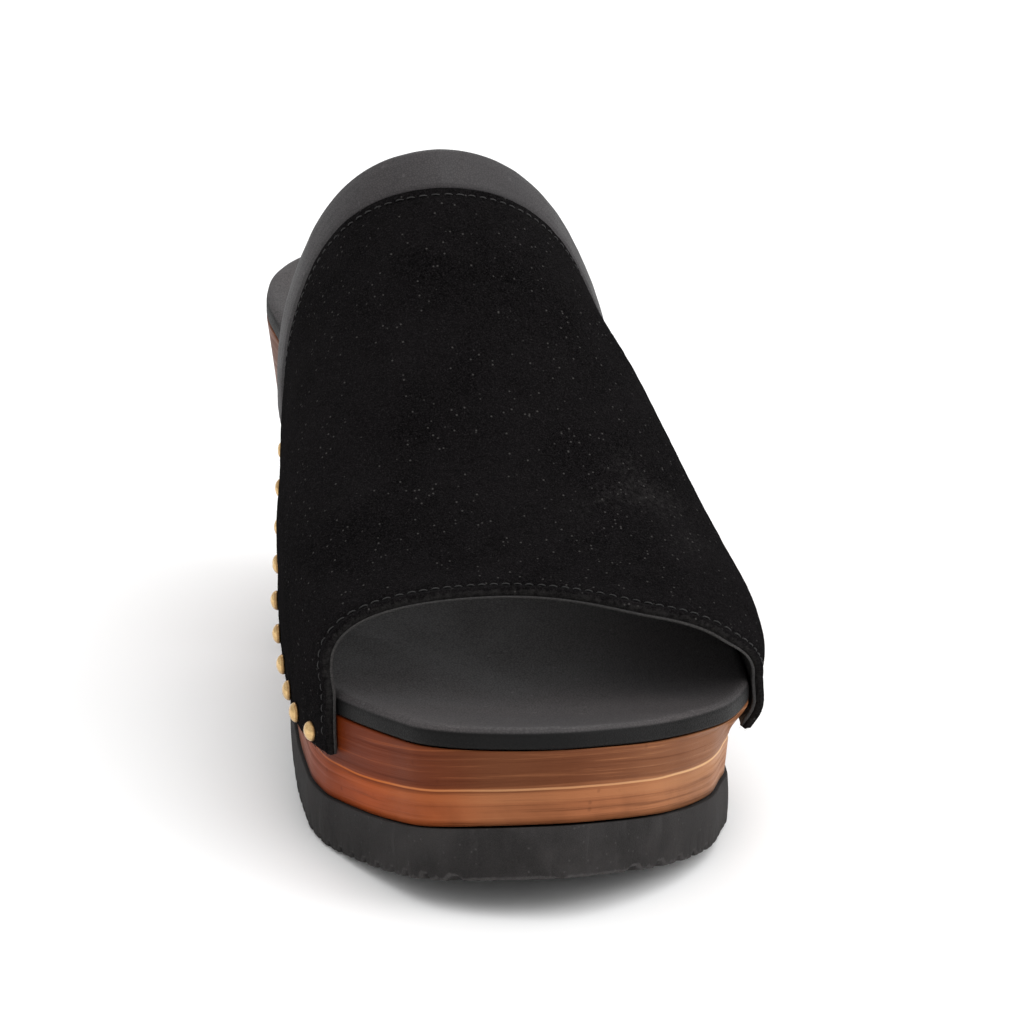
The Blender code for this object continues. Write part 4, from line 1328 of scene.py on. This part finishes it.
class CutVamp(DressedPiece):
    """Cuts the suede vamp and its lining, with raw edges and rows pulled in by the stitches"""

    bl_idname = "mule.cut_vamp"
    bl_label = "Suede vamp and lining"

    def execute(self, context):
        values = context.scene.mule_upper
        stitches = context.scene.mule_stitches
        girths = even_girths(233)
        shares = vamp_rows(129, girths)
        inside = upper_inside(shares, girths[None, :])
        from_seam = surface_distances(inside, 0)
        from_front = from_seam[-1][None, :] - from_seam
        from_inner = surface_distances(inside, 1)
        from_outer = from_inner[:, -1][:, None] - from_inner
        from_flap = np.minimum(from_inner, from_outer)
        free = np.minimum(from_front, from_flap)
        outer = (girths > 0.5).astype(float)[None, :]
        lift = flap_corner_lift(from_front, from_outer, outer)

        split = SUEDE_WALL * (1 - values.suede_share)
        folds = values.folds * (0.7 * rumple(inside, 0.028, 1) + 0.3 * rumple(inside, 0.011, 2))
        nap = 0.00009 * rumple(inside, 0.0021, 4)
        row_gap = np.abs(from_front - stitches.from_opening)
        collar_gap = np.abs(from_seam - stitches.from_collar)
        pulled = stitches.sunk * (bell(row_gap, STITCH_GROOVE_WIDTH) + bell(collar_gap, STITCH_GROOVE_WIDTH))
        lip = LIP_HEIGHT * bell(from_front - LIP_FROM_EDGE, LIP_WIDTH)
        calm = eased(free, 0.0, 0.01)
        high = SUEDE_WALL + folds * calm + nap - pulled + lip
        high = high - rounded(np.minimum(free, from_seam), values.raw_edge, RAW_EDGE_DROP)
        low = np.full_like(high, split + 0.00004)
        # Painted sheen: the suede's outer side is made paler, through its wear values, where light falls on
        # it.
        painted_sheen = bell(shares - PAINTED_SHEEN_ALONG, PAINTED_SHEEN_ALONG_SPREAD)
        painted_sheen = painted_sheen * bell(girths[None, :] - PAINTED_SHEEN_GIRTH, PAINTED_SHEEN_GIRTH_SPREAD)
        painted_sheen = painted_sheen * (0.70 + 0.38 * rumple(inside, 0.013, 8))
        wear = np.maximum(np.clip(1 - free / WORN_EDGE_WIDTH, 0.0, 1.0) * 0.8, painted_sheen)
        wall_layer(
            "suede_layer", shares, girths, low, high, ["suede_vamp"],
            suede_finish("suede", tuple(values.suede), tuple(values.fleck_and_sheen)), lift=lift, wear=wear,
        )

        girths = even_girths(121)
        shares = vamp_rows(61, girths)
        inside = upper_inside(shares, girths[None, :])
        run = surface_distances(inside, 0)
        total = run[-1][None, :]
        from_front = total - run
        across = surface_distances(inside, 1)
        from_outer = across[:, -1][:, None] - across
        outer = (girths > 0.5).astype(float)[None, :]
        lift = flap_corner_lift(from_front, from_outer, outer)
        edge = np.minimum(np.minimum(across, from_outer), from_front)
        low = rounded(edge, 0.0003, 0.00025)
        high = np.full_like(low, split)
        wall_layer(
            "lining", shares, girths, low, high, ["suede_vamp"],
            leather_finish(
                "lining_leather", tuple(values.lining), 0.0008, 0.00008, 0.55, 0.32, 0.6, 0.03
            ),
            lift=lift, wear=np.clip(1 - edge / 0.001, 0.0, 1.0) * 0.3,
        )
        return {"FINISHED"}


class FoldCollar(DressedPiece):
    """Folds the smooth leather band round the topline"""

    bl_idname = "mule.fold_collar"
    bl_label = "Collar"

    def execute(self, context):
        values = context.scene.mule_upper
        girths = even_girths(241)
        start = edge_share(TOPLINE, girths)
        seam = toward_toe(seam_share(girths), girths, 2 * GAP)
        share = close_at_ends(41)[:, None]
        shares = start[None, :] + (seam - start)[None, :] * share
        inside = upper_inside(shares, girths[None, :])
        from_top = surface_distances(inside, 0)
        from_inner = surface_distances(inside, 1)
        from_flap = np.minimum(from_inner, from_inner[:, -1][:, None] - from_inner)
        from_seam = from_top[-1][None, :] - from_top
        puffed = np.interp(share[:, 0], PUFF_PLACES, PUFF_SHARES)[:, None]
        high = COLLAR_WALL * puffed + 0.00022 * rumple(inside, 0.016, 6) + 0.00008 * rumple(inside, 0.004, 7)
        high = high - rounded(from_top, 0.0017, 0.0013) - rounded(from_seam, 0.0008, 0.0005)
        high = high - rounded(from_flap, 0.0009, 0.0008)
        low = rounded(from_top, 0.0014, 0.0009) + rounded(from_flap, 0.0006, 0.0004)
        # Paler along the topline: rubbed wear together with a painted rim light, where light catches the
        # rolled edge.
        wear = np.clip(1 - from_top / 0.003, 0.0, 1.0) * 0.7
        wall_layer(
            "collar_band", shares, girths, low, high, ["collar"],
            leather_finish(
                "collar_leather", tuple(values.collar), 0.00055, 0.00005, 0.52, 0.30, 0.62, 0.02
            ),
            wear=wear,
        )
        return {"FINISHED"}


# Stitches

def stitch_row(name, girths, shares_of, values):
    """A row of separate stitches that follow the upper, each dipping into the leather at its ends."""
    fine = np.linspace(girths[0], girths[1], 3000)
    shares = shares_of(fine)
    line = upper_inside(shares, fine)
    out = upper_out(shares, fine)
    far = np.concatenate([[0.0], np.cumsum(np.linalg.norm(np.diff(line, axis=0), axis=-1))])
    pitch = values.length + values.space
    count = int(far[-1] / pitch)
    spare = (far[-1] - count * pitch) / 2
    radius, sides, rings = values.thickness / 2, 8, 9
    points, faces = [], []
    rng = random.Random(11)
    for i in range(count):
        begin = spare + i * pitch + values.space / 2 + rng.uniform(-1, 1) * 0.00008
        places = np.linspace(begin, begin + values.length * rng.uniform(0.94, 1.04), rings)
        centre = np.stack([np.interp(places, far, line[:, k]) for k in range(3)], -1)
        up = unit(np.stack([np.interp(places, far, out[:, k]) for k in range(3)], -1))
        forward = unit(np.gradient(centre, axis=0))
        aside = unit(np.cross(forward, up))
        share = np.linspace(0.0, 1.0, rings)
        arch = np.sin(math.pi * np.clip(share, 0.02, 0.98)) ** 0.55
        height = SUEDE_WALL - values.sunk + THREAD_SEAT - STITCH_DIP + STITCH_RISE * arch
        slant = (share - 0.5) * 0.00008 + rng.uniform(-1, 1) * 0.00004
        centre = centre + up * height[:, None] + aside * slant[:, None]
        first = len(points)
        for ring in range(rings):
            slim = 0.62 if ring in (0, rings - 1) else 1.0
            for j in range(sides):
                a = 2 * math.pi * j / sides
                offset = aside[ring] * math.cos(a) + up[ring] * math.sin(a) * 0.8
                points.append(centre[ring] + offset * radius * slim)
        faces += [tuple(v + first for v in face) for face in ring_faces(rings, sides)]
        faces.append(tuple(first + j for j in range(sides)))
        faces.append(tuple(first + (rings - 1) * sides + j for j in range(sides)))
    finish = thread_finish("thread", tuple(values.thread))
    mesh_piece(name, np.array(points), faces, ["suede_vamp"], materials=[finish])


class SewStitches(DressedPiece):
    """Sews one row behind the toe opening and one beside the collar"""

    bl_idname = "mule.sew_stitches"
    bl_label = "Stitches"

    def execute(self, context):
        values = context.scene.mule_stitches

        def behind_opening(girth):
            return toward_toe(edge_share(TOE_OPENING, girth), girth, -values.from_opening)

        def beside_collar(girth):
            return toward_toe(seam_share(girth), girth, values.from_collar)

        stitch_row("opening_stitches", (0.02, 0.98), behind_opening, values)
        stitch_row("collar_stitches", (0.03, 0.97), beside_collar, values)
        return {"FINISHED"}


class FrayEdges(DressedPiece):
    """Stands loose fibres on the suede's cut edges and longer ones in its nap"""

    bl_idname = "mule.fray_edges"
    bl_label = "Frayed edges"

    def execute(self, context):
        values = context.scene.mule_upper
        rng = random.Random(5)
        places = []
        for _ in range(values.fibre_count):
            kind = rng.random()
            if kind < 0.50:
                girth = rng.random()
                share = float(toward_toe(edge_share(TOE_OPENING, girth), girth, -rng.random() * 0.0006))
                lean = (1.0, 0.0)
            else:
                girth = rng.random() * ON_FLAP_EDGE
                if kind > 0.72:
                    girth = 1 - girth
                back = float(seam_share(girth))
                share = back + (float(edge_share(TOE_OPENING, girth)) - back) * rng.random()
                lean = (0.0, -1.0 if girth < 0.5 else 1.0)
            places.append((share, girth, lean[0], lean[1], rng.random()))
        for _ in range(values.nap_count):
            girth = rng.random()
            back, front = float(seam_share(girth)), float(edge_share(TOE_OPENING, girth))
            places.append((back + (front - back) * rng.random(), girth, 0.0, 0.0, 1.0))
        share, girth, ahead, around, depth = np.array(places).T
        seat = upper_inside(share, girth)
        out = upper_out(share, girth)
        from_front = (edge_share(TOE_OPENING, girth) - share) * SOLE_LENGTH
        from_flap = (1 - girth) / FLAP_SHARE * flap_drop(OUTER)
        seat = seat + out * flap_corner_lift(from_front, from_flap, girth > 0.5)[:, None]
        step = 0.002
        lower, higher = np.maximum(girth - step, 0.0), np.minimum(girth + step, 1.0)
        toe = unit(upper_inside(share + step, girth) - seat)
        over = unit(upper_inside(share, higher) - upper_inside(share, lower))
        split = SUEDE_WALL * (1 - values.suede_share)
        seat = seat + out * (split + (SUEDE_WALL - split - 0.0002) * depth[:, None])
        points, faces = [], []
        for i in range(len(share)):
            way = toe[i] * ahead[i] + over[i] * around[i]
            on_face = ahead[i] == around[i] == 0.0
            rise = rng.uniform(0.15, 0.8) if on_face else rng.uniform(-0.3, 0.9)
            way = way * rng.uniform(0.5, 1.0) + out[i] * rise + toe[i] * rng.uniform(-0.4, 0.4)
            if on_face:
                way = way + over[i] * rng.uniform(-0.7, 0.7)
            way = unit(way)
            reach = values.fibre_length * (0.25 + 0.75 * rng.random() ** 2) * (0.7 if on_face else 1.0)
            aside = unit(np.cross(way, out[i] + 1e-4))
            third = np.cross(way, aside)
            curl = (aside * rng.uniform(-1, 1) + third * rng.uniform(-1, 1)) * reach * 0.35
            first = len(points)
            for step, thick in ((-0.12, 1.0), (0.5, 0.75)):
                middle = seat[i] + way * reach * step + curl * max(0.0, step) ** 2
                for a in (0.0, 2.1, 4.2):
                    points.append(middle + (aside * math.cos(a) + third * math.sin(a)) * FIBRE_RADIUS * thick)
            points.append(seat[i] + way * reach + curl)
            for a in range(3):
                b = (a + 1) % 3
                faces.append((first + a, first + b, first + 3 + b, first + 3 + a))
                faces.append((first + 3 + a, first + 3 + b, first + 6))
            faces.append((first, first + 2, first + 1))
        mesh_piece(
            "edge_fibres", np.array(points), faces, ["suede_vamp"], wear=np.full(len(points), 0.6),
            materials=[suede_finish("suede", tuple(values.suede), tuple(values.fleck_and_sheen))],
        )
        return {"FINISHED"}


# Nails

class DriveNails(DressedPiece):
    """Drives the domed nails through the suede's lower edges"""

    bl_idname = "mule.drive_nails"
    bl_label = "Nails"

    def execute(self, context):
        values = context.scene.mule_nails
        finish = brass_finish("brass", tuple(values.brass))
        rng = random.Random(3)
        for node in sorted(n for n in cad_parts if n.startswith("nail_")):
            word, number = node.split("_")[1:]
            side = INNER if word == "inner" else OUTER
            front = TOE_OPENING.inner - NAIL_FROM_FRONT / SOLE_LENGTH
            if side == OUTER:
                front = TOE_OPENING.outer - OUTER_NAIL_FROM_FRONT / SOLE_LENGTH
            along = front - (int(number) - 1) * NAIL_PITCH / SOLE_LENGTH
            climb = FLAP_SHARE * NAIL_ABOVE_EDGE / float(flap_drop(side))
            girth = climb if side == INNER else 1 - climb
            out = upper_out(along, girth)
            low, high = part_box(node)
            seat = np.array((low + high) / 2) - out * NAIL_HEAD_HEIGHT / 2
            self.head(node, seat, Vector(out), rng, values.unevenness, finish)
        return {"FINISHED"}

    def head(self, node, seat, out, rng, unevenness, finish):
        sides, turns = 28, 2 * math.pi
        profile = [(0.86, -0.22), (0.97, -0.10), (1.0, 0.06)]
        profile += [(math.cos(a), 0.10 + 1.25 * math.sin(a)) for a in np.linspace(0.10, 1.35, 8)]
        phase = rng.uniform(0, turns)
        wobble = [rng.uniform(-1, 1) for _ in range(3)]
        points, wear = [], []
        for ring, (reach, height) in enumerate(profile):
            for j in range(sides):
                a = turns * j / sides
                uneven = sum(w * math.cos((k + 2) * a + phase * (k + 1)) for k, w in enumerate(wobble))
                r = NAIL_HEAD_RADIUS * reach + unevenness * uneven * min(1.0, 2 * reach) * 0.5
                h = NAIL_HEAD_HEIGHT * height + unevenness * uneven * 0.5 * (1 - reach)
                points.append((r * math.cos(a), r * math.sin(a), h))
                wear.append(0.95 if ring < 5 else 0.0)
        points.append((0.0, 0.0, NAIL_HEAD_HEIGHT * 1.35))
        wear.append(0.0)
        faces = ring_faces(len(profile), sides)
        last = (len(profile) - 1) * sides
        faces += [(last + j, last + (j + 1) % sides, len(points) - 1) for j in range(sides)]
        faces.append(tuple(range(sides)))
        tip = Vector((rng.uniform(-1, 1) * 0.05, rng.uniform(-1, 1) * 0.05, 0.0))
        place = Matrix.Translation(Vector(seat)) @ (out + tip).to_track_quat("Z", "Y").to_matrix().to_4x4()
        placed = np.array([place @ Vector(p) for p in points])
        name = node.replace("nail_", "nail_head_")
        mesh_piece(name, placed, faces, [node], wear=wear, materials=[finish])


# Stage

class SetStage(DressedPiece):
    """Lays the pale floor and sets the soft lights and the camera"""

    bl_idname = "mule.set_stage"
    bl_label = "Floor, lights and camera"

    def execute(self, context):
        values = context.scene.mule_stage
        scene = context.scene
        mesh = bpy.data.meshes.new("floor")
        corners = [(x * FLOOR_REACH, y * FLOOR_REACH, 0) for x, y in ((-1, -1), (1, -1), (1, 1), (-1, 1))]
        mesh.from_pydata(corners, [], [(0, 1, 2, 3)])
        floor = bpy.data.objects.new("floor", mesh)
        scene.collection.objects.link(floor)
        made, nodes, shader = new_material("floor_paint")
        set_shader(nodes, shader, base_color=tuple(values.floor), roughness=0.85, specular_ior_level=0.1)
        mesh.materials.append(made)

        world = bpy.data.worlds.new("air")
        world.use_nodes = True
        sky = world.node_tree.nodes["Background"]
        sky.inputs["Color"].default_value = (1.0, 1.0, 1.0, 1.0)
        sky.inputs["Strength"].default_value = values.air
        scene.world = world

        for name, place, size, power in (
            ("key_light", (0.40, -0.80, 1.65), 2.2, values.key),
            ("side_light", (1.25, -0.75, 0.75), 0.9, values.fill),
            ("back_light", (0.1, 1.1, 1.3), 1.2, values.fill),
        ):
            self.softbox(name, place, size, power)
        scene.view_settings.view_transform = "Standard"

        camera = bpy.data.objects.new("camera", bpy.data.cameras.new("camera"))
        camera.data.lens = values.lens
        camera.data.sensor_width = 36.0
        camera.data.clip_start = 0.05
        look = (Vector(CAMERA_AIM) - Vector(CAMERA_PLACE)).to_track_quat("-Z", "Y").to_matrix().to_4x4()
        place = Matrix.Translation(Vector(CAMERA_PLACE))
        camera.matrix_world = place @ look @ Matrix.Rotation(values.roll, 4, "Z")
        scene.collection.objects.link(camera)
        scene.camera = camera
        return {"FINISHED"}

    def softbox(self, name, place, size, power):
        data = bpy.data.lights.new(name, "AREA")
        data.shape = "DISK"
        data.size = size
        data.energy = power
        lamp = bpy.data.objects.new(name, data)
        lamp.location = place
        aim = Vector(LIGHT_AIM) - Vector(place)
        lamp.rotation_euler = aim.to_track_quat("-Z", "Y").to_euler()
        bpy.context.scene.collection.objects.link(lamp)


GROUPS = {
    "mule_sole": MuleSole,
    "mule_footbed": MuleFootbed,
    "mule_upper": MuleUpper,
    "mule_stitches": MuleStitches,
    "mule_nails": MuleNails,
    "mule_stage": MuleStage,
}
STEPS = [
    CarveWoodenSole, CastTreads, CoverFootbed, CutVamp, FoldCollar,
    SewStitches, FrayEdges, DriveNails, SetStage,
]


class MulePanel(bpy.types.Panel):
    """Lists the steps and the values of the mule"""

    bl_idname = "VIEW3D_PT_mule"
    bl_label = "Suede Mule"
    bl_space_type = "VIEW_3D"
    bl_region_type = "UI"
    bl_category = "Mule"

    def draw(self, context):
        for group in GROUPS:
            box = self.layout.box()
            box.label(text=group.replace("_", " ").capitalize())
            for name in GROUPS[group].__annotations__:
                box.prop(getattr(context.scene, group), name)
        for step in STEPS:
            self.layout.operator(step.bl_idname)


def register():
    for name, group in GROUPS.items():
        bpy.utils.register_class(group)
        setattr(bpy.types.Scene, name, bpy.props.PointerProperty(type=group))
    for step in STEPS:
        bpy.utils.register_class(step)
    bpy.utils.register_class(MulePanel)


def unregister():
    bpy.utils.unregister_class(MulePanel)
    for step in reversed(STEPS):
        bpy.utils.unregister_class(step)
    for name, group in GROUPS.items():
        delattr(bpy.types.Scene, name)
        bpy.utils.unregister_class(group)


def plain(box):
    """A box as plain lists of numbers."""
    return [[float(x) for x in corner] for corner in box]


def main():
    register()
    for step in STEPS:
        area, word = step.bl_idname.split(".")
        getattr(getattr(bpy.ops, area), word)()


if __name__ == "__main__":
    main()
